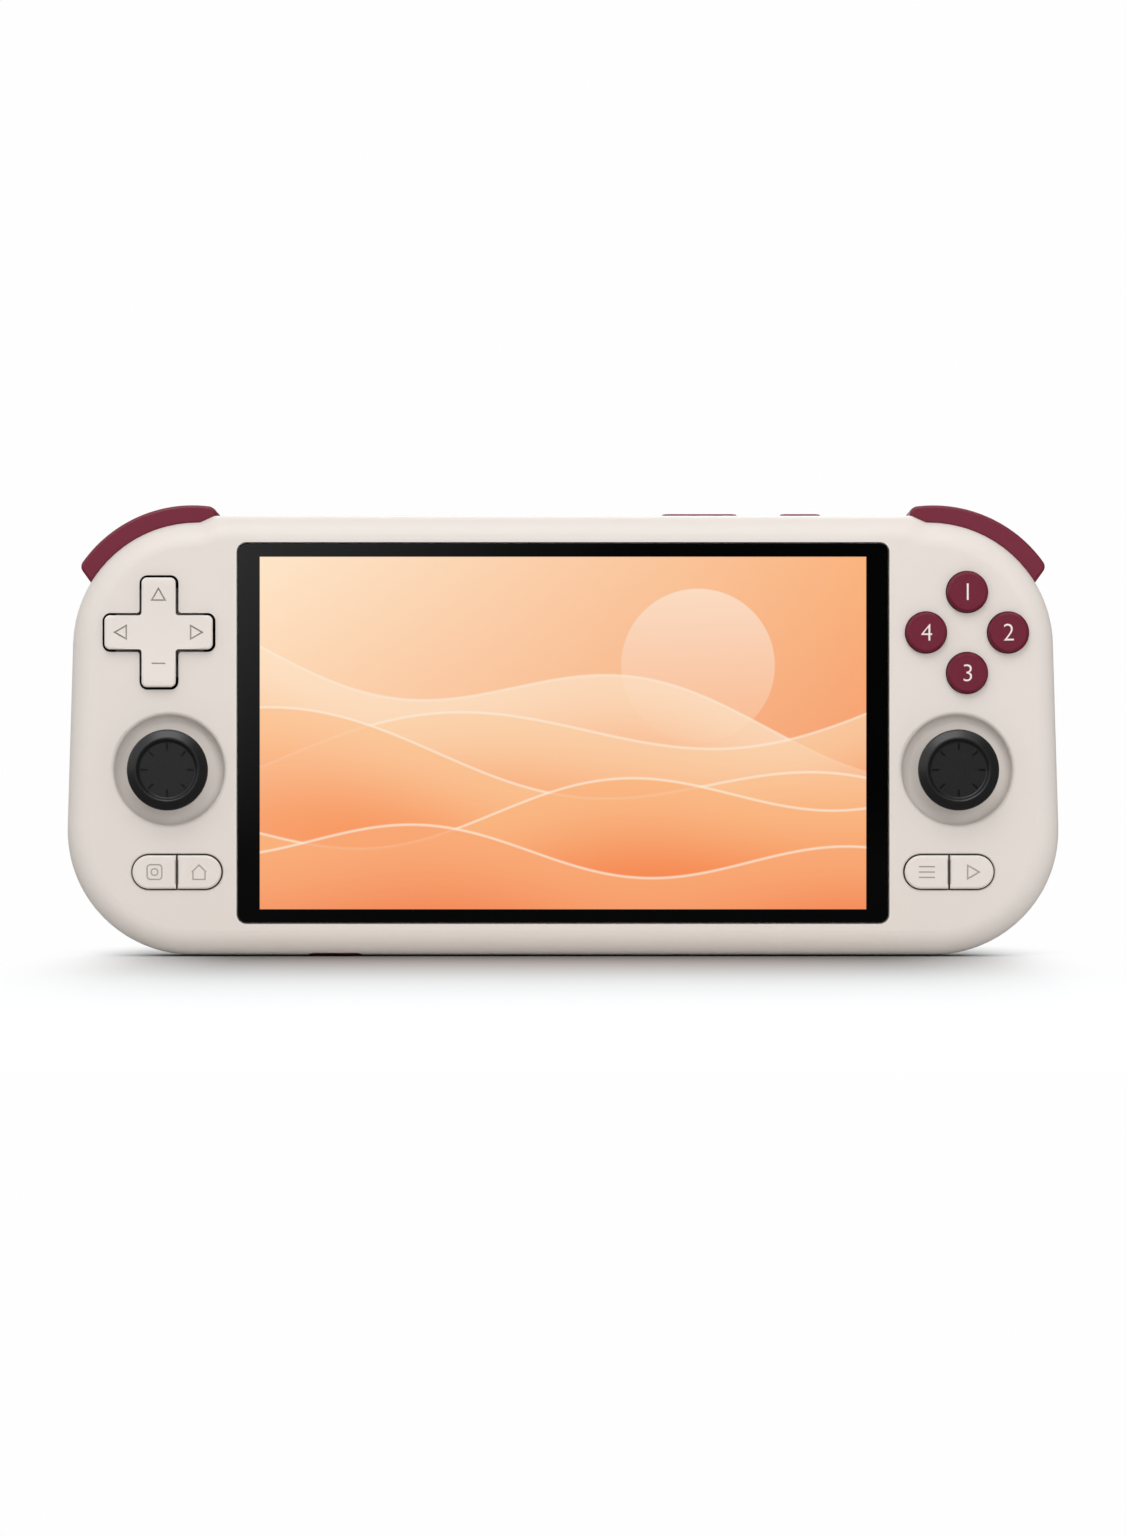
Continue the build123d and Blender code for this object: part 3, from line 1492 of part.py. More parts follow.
with BuildPart() as display_flex:
    with BuildSketch(Plane.YZ.offset(-display_flex_width / 2)):
        with BuildLine():
            near = display_back + flex_thickness
            far = board_front - flex_thickness
            FilletPolyline(
                (near, display_flex_top),
                (near, display_flex_bottom),
                (far, display_flex_bottom),
                (far, display_flex_top),
                radius=display_flex_bend,
            )
        trace(line_width=flex_thickness)
    extrude(amount=display_flex_width)
save(display_flex, "display_flex")


def screws(y, places, radius, length, head_radius, head_height):
    """Screws whose heads stand behind the plane at depth y."""
    with BuildPart() as found:
        extrude(discs(y, places, radius), amount=length)
        extrude(discs(y + head_height, places, head_radius), amount=head_height)
    return found.part


with BuildPart() as board_screws:
    small = (screw_radius, screw_length, screw_head_radius, screw_head_height)
    add(screws(board_back, mirrored_places(board_boss_places), *small))
    add(screws(board_back, board_hole_places, *small))
    add(screws(frame_back, frame_boss_places, *small))
save(board_screws, "board_screws")

with BuildPart() as case_screws:
    large = (case_screw_radius, case_seat - case_screw_end, case_head_radius, case_head_height)
    add(screws(case_seat, mirrored_places(case_boss_places), *large))
    with BuildSketch(backing(case_seat + case_head_height - cross_slot_depth)):
        with Locations(*mirrored_places(case_boss_places)):
            Rectangle(cross_slot_length, cross_slot_width)
            Rectangle(cross_slot_width, cross_slot_length)
    extrude(amount=case_head_height, mode=Mode.SUBTRACT)
save(case_screws, "case_screws")
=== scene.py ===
from math import atan, pi

import bpy
from bpy.props import FloatProperty, FloatVectorProperty, PointerProperty
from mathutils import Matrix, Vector


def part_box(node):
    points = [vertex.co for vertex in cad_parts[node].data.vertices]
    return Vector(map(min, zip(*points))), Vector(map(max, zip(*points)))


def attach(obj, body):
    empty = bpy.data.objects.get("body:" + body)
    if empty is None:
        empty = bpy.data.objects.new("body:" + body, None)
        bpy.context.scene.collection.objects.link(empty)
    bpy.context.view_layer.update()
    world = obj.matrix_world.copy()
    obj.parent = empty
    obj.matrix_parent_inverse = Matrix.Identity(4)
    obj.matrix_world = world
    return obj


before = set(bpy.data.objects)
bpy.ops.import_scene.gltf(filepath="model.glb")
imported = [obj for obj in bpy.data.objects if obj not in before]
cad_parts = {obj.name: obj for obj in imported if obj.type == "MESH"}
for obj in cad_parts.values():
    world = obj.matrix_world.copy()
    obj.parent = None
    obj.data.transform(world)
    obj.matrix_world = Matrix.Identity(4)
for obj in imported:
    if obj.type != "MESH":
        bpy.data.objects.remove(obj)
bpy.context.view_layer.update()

bl_info = {
    "name": "Handheld game console looks",
    "version": (1, 0, 0),
    "blender": (4, 5, 0),
    "location": "View3D > Sidebar > Console",
    "description": "Materials, button marks, screen picture and studio for a handheld game console",
    "category": "Object",
}

MM = 0.001


def linear(red, green, blue):
    """Linear colour for 8-bit screen values."""
    def channel(value):
        share = value / 255
        return share / 12.92 if share <= 0.04045 else ((share + 0.055) / 1.055) ** 2.4
    return (channel(red), channel(green), channel(blue), 1.0)


def grey(level):
    """Linear grey."""
    return (level, level, level, 1.0)


def scaled(colour, share):
    """The colour, lighter or darker by a share."""
    return (*(min(channel * share, 1.0) for channel in colour[:3]), 1.0)


# Places and sizes of the CAD pieces that the looks follow, in millimetres of the row frame.
# The wings mirror each other, so an X is a distance from the middle of the console.
FRONT_Y = -9.0
PAD_X = 80.8
PAD_Z = 64.6
PAD_HALF_WIDTH = 10.8
PAD_HALF_HEIGHT = 10.95
PAD_ARM_HALF = 3.4
BUTTON_OFFSET_X = 8.2
BUTTON_OFFSET_Z = 8.1
BUTTON_RADIUS = 4.05
PILL_X = 77.2
PILL_Z = 16.7
PILL_HALF_WIDTH = 8.9
PILL_HALF_HEIGHT = 3.35
PILL_MOUTH_ROUND = 0.35
STICK_X = 78.8
STICK_Z = 37.1
STICK_DISH_Y = -13.5
STICK_DISH_RADIUS = 5.6

# Widths of the blends at the edge of a shaded place
THIN_BLEND = 0.05
WIDE_BLEND = 0.1
WING_CHANGE = 1.0

# Walls of the holes, painted black as shade: how far outside a button the painted shade reaches,
# and from which depth back
WALL_REACH = 0.6
PAD_WALL_REACH = 0.8
WALL_Y = FRONT_Y + 0.08
PILL_WALL_Y = FRONT_Y + PILL_MOUTH_ROUND + 0.05

# Sides of the direction pad and of the small buttons, painted black as shade from here back
PAD_SIDE_SHADE_Y = FRONT_Y - 0.9
KEY_SIDE_SHADE_Y = FRONT_Y - 0.2

# Marks that the CAD has cut in: the area they lie in, and their floors, which get painted shade
PAD_MARK_REACH = 9.6
PAD_MARK_Y = FRONT_Y - 1.14
KEY_MARK_INSET = 0.9
KEY_MARK_Y = FRONT_Y - 0.6
TICK_Y = STICK_DISH_Y + 0.1

# Printed numbers: the face buttons clockwise from the top, with their side along X
BUTTON_SIDES = {"top": 0, "right": 1, "bottom": 0, "left": -1}
LETTER_STEPS = 6

# Tones, and shares by which a finish is lighter or darker than its colour
# Black painted as shade in gaps: on hole walls, on the sides of the pad and keys, and on the floors
# of the stick ticks
PAINTED_GAP_SHADE = linear(6, 5, 5)
PLAIN_WHITE = linear(254, 254, 254)
# Share of the colour painted on the floors of cut marks as shade
GROOVE_SHADE_SHARE = 0.58
SMOOTH_SHARE = 1.03
SATIN_SHARE = 1.1

# Every grained surface: one noise for broad patches, one for the grain itself
PATCHES_PER_GRAIN = 1 / 30
PATCH_DETAIL = 3.0
GRAIN_DETAIL = 2.0
NOISE_SPAN = (0.3, 0.7)
ROUGHNESS_SPREAD = 0.1

# Boards: how light the two kinds of field and the tracks between them are
BOARD_FIELDS = (("Color1", 0.9), ("Color2", 1.1), ("Mortar", 2.2))

# Screen glass
GLASS_IOR = 1.5
GLASS_SMEARS = 40.0
GLASS_ROUGHNESS = (0.05, 0.09)

# Screen picture, in millimetres of the row frame: a pale disc behind soft layered dunes
PICTURE_Z = 44.5
PICTURE_HALF_WIDTH = 60.65
PICTURE_HALF_HEIGHT = 35.25
PICTURE_EDGE = 0.05
PICTURE_STRENGTH = 0.97
SKY_TOP = (linear(255, 230, 200), linear(253, 182, 128))
SKY_BOTTOM = (linear(254, 188, 134), linear(246, 146, 100))
DISC_X = 27.0
DISC_Z = 58.0
DISC_RADIUS = 15.5
DISC_OPACITY = 0.85
DISC_TONES = (linear(252, 178, 126), linear(255, 240, 222))
DISC_TONE_SPAN = (0.15, 0.75)
# Middle height, slope, wave height, radians per millimetre, phase, opacity, light tone, deep tone
DUNES = (
    (52.0, -0.16, 6.0, 0.062, 0.6, 0.70, linear(255, 228, 198), linear(252, 170, 108)),
    (44.5, 0.10, 6.5, 0.050, 2.9, 0.72, linear(254, 210, 168), linear(250, 148, 84)),
    (37.5, -0.12, 5.5, 0.058, 4.6, 0.74, linear(254, 196, 146), linear(249, 132, 66)),
    (29.5, 0.08, 5.0, 0.066, 0.9, 0.78, linear(253, 184, 130), linear(247, 122, 62)),
    (20.5, -0.05, 4.2, 0.072, 3.6, 0.82, linear(252, 172, 120), linear(243, 118, 72)),
)
DUNE_DEPTH = 24.0
DUNE_EDGE = 0.25
DUNE_LIT_LEFT = 0.25
RIM_WIDTH = 0.45
RIM_OPACITY = 0.75
RIM_TONE = linear(255, 236, 214)

# Studio, in metres: the place of each square lamp and the length of its sides
KEY_LAMP = ((-0.15, -0.8, 0.95), 0.8)
LOW_LAMP = ((0.35, -1.1, 0.27), 0.5)
BACK_LAMP = ((0.2, 1.0, 0.75), 0.8)
LAMP_AIM = (0.0, 0.0, 0.045)
FLOOR_HALF = 3.0
FLOOR_DROP = 0.0003
# White card that mirror reflections see, up and to the left behind the camera
CARD_WAY = (-0.75, 0.0, 0.66)
CARD_EDGE = (0.02, 0.10)
CARD_LEVELS = (0.02, 1.0)

# Floor, in millimetres of the row frame: where it fades to plain white, and the painted shadow at
# the foot
FADE_BESIDE = (80.0, 108.0)
FADE_AHEAD = (-60.0, -420.0)
FADE_BEHIND = (10.0, 70.0)
FOOT_SHADE = 0.48
FOOT_SIDE = (60.0, 100.0)
FOOT_HALF_DEPTH = 10.0
FOOT_FALL = 60.0
SCREEN_GAMMA = 2.2
FLOOR_TONE = (0.93, 0.95, 0.96, 1.0)
# What the lamps' light and the mirror reflections meet there instead: a greyer floor keeps the
# underside of the console in shade, and a dark one keeps the foot of the glass black
FLOOR_BOUNCE = grey(0.62)
FLOOR_MIRRORED = grey(0.04)


class Nodes:
    """Node tree of a material or a world, with short calls for the nodes that the looks need."""

    def __init__(self, owner, output="ShaderNodeOutputMaterial"):
        owner.use_nodes = True
        self.owner = owner
        self.tree = owner.node_tree
        self.tree.nodes.clear()
        self.output = self.node(output)
        self.coordinates = self.node("ShaderNodeTexCoord").outputs

    def node(self, kind, **settings):
        made = self.tree.nodes.new(kind)
        for key, value in settings.items():
            setattr(made, key, value)
        return made

    def put(self, socket, value):
        """Link a socket, or set its value."""
        if isinstance(value, bpy.types.NodeSocket):
            self.tree.links.new(value, socket)
        else:
            socket.default_value = value

    def math(self, operation, *values):
        made = self.node("ShaderNodeMath", operation=operation)
        for socket, value in zip(made.inputs, values):
            self.put(socket, value)
        return made.outputs[0]

    def absolute(self, value):
        return self.math("ABSOLUTE", value)

    def less(self, first, second):
        return self.math("SUBTRACT", first, second)

    def times(self, first, second):
        return self.math("MULTIPLY", first, second)

    def higher(self, first, second):
        return self.math("MAXIMUM", first, second)

    def line(self, value, slope, start):
        """The value times a slope, added to a start."""
        return self.math("MULTIPLY_ADD", value, slope, start)

    def length(self, first, second):
        return self.math("SQRT", self.line(first, first, self.times(second, second)))

    def off(self, value, middle):
        """Distance of a coordinate from a middle, to either side."""
        return self.absolute(self.less(value, middle))

    def axes(self):
        """X, Y and Z of the row frame, in millimetres."""
        parts = self.node("ShaderNodeSeparateXYZ")
        self.put(parts.inputs[0], self.coordinates["Object"])
        return [self.math("DIVIDE", output, MM) for output in parts.outputs]

    def ranged(self, value, low, high, to_low=0.0, to_high=1.0, soft=False):
        """The value taken from one span to another."""
        kind = "SMOOTHSTEP" if soft else "LINEAR"
        made = self.node("ShaderNodeMapRange", interpolation_type=kind)
        for socket, given in zip(made.inputs, (value, low, high, to_low, to_high)):
            self.put(socket, given)
        return made.outputs[0]

    def inside(self, reach, rim, blend, soft=False):
        """1 inside the rim and 0 outside it, with a narrow blend just inside it."""
        return self.ranged(reach, rim - blend, rim, 1.0, 0.0, soft)

    def behind(self, y, depth, blend=THIN_BLEND):
        """0 in front and 1 from the depth back, with a narrow blend just in front of it."""
        return self.ranged(y, depth - blend, depth)

    def mixed(self, share, first, second):
        made = self.node("ShaderNodeMix", data_type="RGBA")
        self.put(made.inputs["Factor"], share)
        self.put(made.inputs["A"], first)
        self.put(made.inputs["B"], second)
        return made.outputs["Result"]

    def noise(self, scale, detail, stretch=None):
        place = self.coordinates["Object"]
        if stretch:
            mapping = self.node("ShaderNodeMapping")
            self.put(mapping.inputs["Vector"], place)
            self.put(mapping.inputs["Scale"], stretch)
            place = mapping.outputs[0]
        made = self.node("ShaderNodeTexNoise")
        self.put(made.inputs["Vector"], place)
        self.put(made.inputs["Scale"], scale)
        self.put(made.inputs["Detail"], detail)
        return made.outputs["Fac"]

    def bumped(self, height, depth):
        made = self.node("ShaderNodeBump")
        self.put(made.inputs["Distance"], depth)
        self.put(made.inputs["Height"], height)
        return made.outputs[0]

    def shader(self, kind, **values):
        """Shader with these inputs, whose names have _ for each space."""
        made = self.node(kind)
        for key, value in values.items():
            self.put(made.inputs[key.replace("_", " ")], value)
        return made.outputs[0]

    def shaders(self, share, first, second):
        """Two shaders mixed."""
        made = self.node("ShaderNodeMixShader")
        for socket, value in zip(made.inputs, (share, first, second)):
            self.put(socket, value)
        return made.outputs[0]

    def finish(self, shader):
        """Make the shader the surface, and return the material or world."""
        self.put(self.output.inputs["Surface"], shader)
        return self.owner


def material_nodes(name):
    return Nodes(bpy.data.materials.new(name))


def pill_reach(look, side, z):
    """Distance outside the outline of a pair of small buttons."""
    along = look.less(look.off(side, PILL_X), PILL_HALF_WIDTH - PILL_HALF_HEIGHT)
    reach = look.length(look.higher(along, 0.0), look.off(z, PILL_Z))
    return look.less(reach, PILL_HALF_HEIGHT)


def pad_reach(look, beside, above):
    """Distance outside the outline of the cross, from the distances to its middle."""
    flat = look.higher(look.less(beside, PAD_HALF_WIDTH), look.less(above, PAD_ARM_HALF))
    tall = look.higher(look.less(beside, PAD_ARM_HALF), look.less(above, PAD_HALF_HEIGHT))
    return look.math("MINIMUM", flat, tall)


def button_reach(look, beside, above):
    """Distance outside the nearest face button, from the distances to the middle of the four."""
    sideways = look.length(look.off(beside, BUTTON_OFFSET_X), above)
    upright = look.length(beside, look.off(above, BUTTON_OFFSET_Z))
    return look.less(look.math("MINIMUM", sideways, upright), BUTTON_RADIUS)


def gap_walls(look):
    """Where the walls of the casing's holes for the direction pad and the buttons are painted black
    as shade.
    """
    x, y, z = look.axes()
    side = look.absolute(x)
    beside, above = look.off(side, PAD_X), look.off(z, PAD_Z)
    pad = look.less(pad_reach(look, beside, above), PAD_WALL_REACH - WALL_REACH)
    buttons = button_reach(look, beside, above)
    on_right = look.ranged(x, -WING_CHANGE, WING_CHANGE)
    wing = look.math("ADD", look.times(pad, look.less(1.0, on_right)),
                     look.times(buttons, on_right))
    holes = look.times(look.inside(wing, WALL_REACH, THIN_BLEND), look.behind(y, WALL_Y))
    pills = look.times(look.inside(pill_reach(look, side, z), WALL_REACH, THIN_BLEND),
                       look.behind(y, PILL_WALL_Y, WIDE_BLEND))
    return look.higher(holes, pills)


def tick_floors(look):
    """Where the floors of the eight ticks lie in the dish of each thumb stick, painted black as
    shade.
    """
    x, y, z = look.axes()
    reach = look.length(look.off(look.absolute(x), STICK_X), look.off(z, STICK_Z))
    return look.times(look.inside(reach, STICK_DISH_RADIUS, WIDE_BLEND), look.behind(y, TICK_Y))


def pad_grooves(look):
    """Where the marks of the four directions are cut into the direction pad, with painted shade on
    their floors.
    """
    x, y, z = look.axes()
    reach = look.length(look.off(x, -PAD_X), look.off(z, PAD_Z))
    return look.times(look.inside(reach, PAD_MARK_REACH, WIDE_BLEND), look.behind(y, PAD_MARK_Y))


def key_grooves(look):
    """Where the marks are cut into the small buttons, with painted shade on their floors."""
    x, y, z = look.axes()
    reach = pill_reach(look, look.absolute(x), z)
    return look.times(look.inside(reach, -KEY_MARK_INSET, WIDE_BLEND), look.behind(y, KEY_MARK_Y))


def grained(name, colour, roughness, grain, depth, spread, metallic=0.0, coat=0.0, specular=0.5,
            stretch=None, shade_from=None, shades=()):
    """Surface with a fine grain: its colour, roughness and height all vary a little.

    The depth of the grain is in millimetres, and so is the place along Y from which the sides of
    the surface are painted black as shade. Each of the shades is a function that says where shade
    is painted on the surface, with the darker colour painted there.
    """
    look = material_nodes(name)
    broad = look.noise(grain * PATCHES_PER_GRAIN, PATCH_DETAIL)
    fine = look.noise(grain, GRAIN_DETAIL, stretch)
    base = look.mixed(broad, scaled(colour, 1 - spread), scaled(colour, 1 + spread))
    smoothest = roughness * (1 - ROUGHNESS_SPREAD)
    roughest = min(roughness * (1 + ROUGHNESS_SPREAD), 1.0)
    # Painted shade: black on the sides from the given depth back, then the darker colours of the
    # shades
    if shade_from is not None:
        base = look.mixed(look.behind(look.axes()[1], shade_from, WIDE_BLEND), base, PAINTED_GAP_SHADE)
    for where, darker in shades:
        base = look.mixed(where(look), base, darker)
    return look.finish(look.shader(
        "ShaderNodeBsdfPrincipled",
        Base_Color=base,
        Roughness=look.ranged(fine, *NOISE_SPAN, smoothest, roughest),
        Metallic=metallic,
        Coat_Weight=coat,
        Specular_IOR_Level=specular,
        Normal=look.bumped(fine, depth * MM),
    ))


def board_look(name, colour, tracks=240.0, track_width=0.06):
    """Solder mask with a faint grid of tracks."""
    look = material_nodes(name)
    grid = look.node("ShaderNodeTexBrick")
    look.put(grid.inputs["Vector"], look.coordinates["Object"])
    look.put(grid.inputs["Scale"], tracks)
    look.put(grid.inputs["Mortar Size"], track_width)
    for part, share in BOARD_FIELDS:
        look.put(grid.inputs[part], scaled(colour, share))
    return look.finish(look.shader(
        "ShaderNodeBsdfPrincipled",
        Base_Color=grid.outputs["Color"],
        Roughness=0.35,
        Coat_Weight=0.3,
    ))


def picture_sky(look, across, z):
    """Even sky, which changes from corner to corner."""
    up = look.ranged(z, PICTURE_Z - PICTURE_HALF_HEIGHT, PICTURE_Z + PICTURE_HALF_HEIGHT)
    return look.mixed(up, look.mixed(across, *SKY_BOTTOM), look.mixed(across, *SKY_TOP))


def picture_disc(look, colour, x, z):
    """The colour with a pale disc over it, which fades downward."""
    rise = look.less(z, DISC_Z)
    reach = look.length(look.less(x, DISC_X), rise)
    tone = look.ranged(rise, -DISC_RADIUS, DISC_RADIUS, *DISC_TONE_SPAN)
    share = look.times(look.inside(reach, DISC_RADIUS, DUNE_EDGE, True), DISC_OPACITY)
    return look.mixed(share, colour, look.mixed(tone, *DISC_TONES))


def picture_dune(look, colour, x, z, dune):
    """The colour with one dune over it: light along its bright rim, deeper further down."""
    middle, slope, wave, rate, phase, opacity, light, deep = dune
    bend = look.math("SINE", look.line(x, rate, phase))
    height = look.line(bend, wave, look.line(x, slope, middle))
    below = look.less(height, z)
    body = look.mixed(look.ranged(below, 0.0, DUNE_DEPTH, soft=True), light, deep)
    lit = look.ranged(x, -PICTURE_HALF_WIDTH, PICTURE_HALF_WIDTH, DUNE_LIT_LEFT, 0.0)
    body = look.mixed(lit, body, light)
    colour = look.mixed(look.ranged(below, 0.0, DUNE_EDGE, 0.0, opacity, True), colour, body)
    rim = look.ranged(look.absolute(below), 0.0, RIM_WIDTH, RIM_OPACITY, 0.0, True)
    return look.mixed(rim, colour, RIM_TONE)


def screen_look(name):
    """Black border round the lit picture, under one polished surface."""
    look = material_nodes(name)
    x, _, z = look.axes()
    across = look.ranged(x, -PICTURE_HALF_WIDTH, PICTURE_HALF_WIDTH)
    colour = picture_disc(look, picture_sky(look, across, z), x, z)
    for dune in DUNES:
        colour = picture_dune(look, colour, x, z, dune)
    outside = look.higher(look.less(look.absolute(x), PICTURE_HALF_WIDTH),
                          look.less(look.off(z, PICTURE_Z), PICTURE_HALF_HEIGHT))
    lit_area = look.ranged(outside, -PICTURE_EDGE, PICTURE_EDGE, 1.0, 0.0)
    smear = look.noise(GLASS_SMEARS, PATCH_DETAIL)
    return look.finish(look.shader(
        "ShaderNodeBsdfPrincipled",
        Base_Color=linear(2, 2, 2),
        Roughness=look.ranged(smear, *NOISE_SPAN, *GLASS_ROUGHNESS),
        IOR=GLASS_IOR,
        Emission_Color=look.mixed(lit_area, grey(0.0), colour),
        Emission_Strength=PICTURE_STRENGTH,
    ))


def floor_look():
    """Pale floor with a soft painted shadow at the foot of the console on top of its real shadow,
    which fades to plain white.
    """
    look = material_nodes("studio_floor")
    x, y, _ = look.axes()
    side = look.absolute(x)
    away = look.math("ADD", look.ranged(y, *FADE_AHEAD), look.ranged(y, *FADE_BEHIND))
    fade = look.ranged(look.length(look.ranged(side, *FADE_BESIDE), away), 0.0, 1.0, soft=True)
    # Painted shadow at the foot: darkens the floor's colour on top of its real shadow
    beside = look.ranged(side, *FOOT_SIDE, 1.0, 0.0, True)
    outside = look.higher(look.less(look.absolute(y), FOOT_HALF_DEPTH), 0.0)
    nearness = look.math("EXPONENT", look.math("DIVIDE", outside, -FOOT_FALL))
    dark = look.times(look.times(beside, nearness), FOOT_SHADE)
    level = look.math("POWER", look.less(1.0, dark), SCREEN_GAMMA)
    pale = look.shader("ShaderNodeBsdfDiffuse", Color=look.mixed(level, grey(0.0), FLOOR_TONE))
    white = look.shader("ShaderNodeEmission", Color=PLAIN_WHITE)
    rays = look.node("ShaderNodeLightPath").outputs
    bounce = look.mixed(rays["Is Glossy Ray"], FLOOR_BOUNCE, FLOOR_MIRRORED)
    unseen = look.shader("ShaderNodeBsdfDiffuse", Color=bounce)
    return look.finish(look.shaders(rays["Is Camera Ray"], unseen, look.shaders(fade, pale, white)))


def studio_world(sky):
    """Even light all round, a white card for mirror reflections, and plain white to look at."""
    look = Nodes(bpy.data.worlds.new("studio"), "ShaderNodeOutputWorld")
    lean = look.node("ShaderNodeVectorMath", operation="DOT_PRODUCT")
    look.put(lean.inputs[0], look.coordinates["Generated"])
    look.put(lean.inputs[1], CARD_WAY)
    card = look.ranged(lean.outputs["Value"], *CARD_EDGE, *CARD_LEVELS, True)
    rays = look.node("ShaderNodeLightPath").outputs
    even = look.shader("ShaderNodeBackground", Strength=sky)
    mirrored = look.shader("ShaderNodeBackground", Strength=card)
    white = look.shader("ShaderNodeBackground", Color=PLAIN_WHITE)
    clear = look.higher(rays["Is Camera Ray"], rays["Is Transmission Ray"])
    lit = look.shaders(rays["Is Glossy Ray"], even, mirrored)
    return look.finish(look.shaders(clear, lit, white))


def dress(material, *names):
    """Give CAD nodes a material."""
    for name in names:
        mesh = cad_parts[name].data
        mesh.materials.clear()
        mesh.materials.append(material)


def both(*names):
    """Left and right names of paired pieces."""
    return [f"{side}_{name}" for side in ("left", "right") for name in names]


class ConsoleLooks(bpy.types.PropertyGroup):
    """Colours and sizes of the console's looks."""

    cream: FloatVectorProperty(
        name="Casing", description="Colour of the casing",
        default=linear(226, 218, 211), subtype="COLOR", size=4, min=0.0, max=1.0,
    )
    maroon: FloatVectorProperty(
        name="Keys", description="Colour of the shoulder keys and face buttons",
        default=linear(110, 30, 50), subtype="COLOR", size=4, min=0.0, max=1.0,
    )
    rubber: FloatVectorProperty(
        name="Stick rubber", description="Colour of the thumb stick caps",
        default=linear(31, 31, 32), subtype="COLOR", size=4, min=0.0, max=1.0,
    )
    mark: FloatVectorProperty(
        name="Button marks", description="Colour of the numbers on the face buttons",
        default=linear(238, 226, 224), subtype="COLOR", size=4, min=0.0, max=1.0,
    )
    mark_size: FloatProperty(
        name="Mark size", description="Height of the numbers on the face buttons",
        default=5.0 * MM, min=MM, max=8.0 * MM, unit="LENGTH",
    )
    mark_thinning: FloatProperty(
        name="Mark thinning", description="How far the strokes of the numbers are drawn in",
        default=0.06 * MM, min=0.0, max=0.2 * MM, unit="LENGTH",
    )
    mark_height: FloatProperty(
        name="Mark height", description="How far the numbers stand off the buttons",
        default=0.03 * MM, min=0.01 * MM, max=0.2 * MM, unit="LENGTH",
    )


class ConsoleStage(bpy.types.PropertyGroup):
    """Camera and studio."""

    camera_distance: FloatProperty(
        name="Camera distance", description="From the front face to the camera",
        default=0.98, min=0.2, max=5.0, unit="LENGTH",
    )
    view_height: FloatProperty(
        name="View height", description="Height that the picture takes in at the console",
        default=0.3072, min=0.1, max=1.0, unit="LENGTH",
    )
    view_middle: FloatProperty(
        name="View middle", description="Height of the picture's middle above the floor",
        default=0.0375, min=-0.2, max=0.5, unit="LENGTH",
    )
    sky: FloatProperty(
        name="Sky", description="Strength of the even light all round",
        default=0.82, min=0.0, max=5.0,
    )
    key_power: FloatProperty(
        name="Key light", description="Power of the high lamp in front",
        default=4.8, min=0.0, max=200.0, unit="POWER",
    )
    low_power: FloatProperty(
        name="Low light", description="Power of the low lamp in front",
        default=2.9, min=0.0, max=200.0, unit="POWER",
    )
    back_power: FloatProperty(
        name="Back light", description="Power of the lamp behind",
        default=5.0, min=0.0, max=200.0, unit="POWER",
    )


class ConsoleCasing(bpy.types.Operator):
    """Dress the casing, the direction pad and the small buttons"""

    bl_idname = "console.casing"
    bl_label = "Casing"

    def execute(self, context):
        cream = context.scene.console_looks.cream
        # The walls of the holes in the front shell get painted black shade
        front = grained("cream_front", cream, roughness=0.48, grain=6000.0, depth=0.004,
                        spread=0.012, shades=((gap_walls, PAINTED_GAP_SHADE),))
        dress(front, "front_shell")
        back = grained("cream_plastic", cream, roughness=0.48, grain=6000.0, depth=0.004,
                       spread=0.012)
        dress(back, "rear_shell")
        smooth = scaled(cream, SMOOTH_SHARE)
        # Sides of the pad and keys, and floors of their cut marks, get painted shade
        groove_shade = scaled(cream, GROOVE_SHADE_SHARE)
        pad = grained("cream_pad", smooth, roughness=0.4, grain=6000.0, depth=0.003,
                      spread=0.012, shade_from=PAD_SIDE_SHADE_Y, shades=((pad_grooves, groove_shade),))
        dress(pad, "dpad")
        keys = grained("cream_keys", smooth, roughness=0.4, grain=6000.0, depth=0.003,
                       spread=0.012, shade_from=KEY_SIDE_SHADE_Y, shades=((key_grooves, groove_shade),))
        dress(keys, "capture_button", "home_button", "menu_button", "start_button")
        return {"FINISHED"}


class ConsoleKeys(bpy.types.Operator):
    """Dress the shoulder keys, face buttons, side keys and card tray"""

    bl_idname = "console.keys"
    bl_label = "Keys and face buttons"

    def execute(self, context):
        maroon = context.scene.console_looks.maroon
        satin = grained("maroon_plastic", scaled(maroon, SATIN_SHARE), roughness=0.34,
                        grain=5000.0, depth=0.003, spread=0.03, specular=0.4)
        dress(satin, *both("bumper", "trigger"), "volume_rocker", "power_button", "card_tray")
        polished = grained("maroon_buttons", maroon, roughness=0.3, grain=4000.0, depth=0.002,
                           spread=0.03, specular=0.3)
        dress(polished, *(f"face_button_{name}" for name in BUTTON_SIDES))
        return {"FINISHED"}


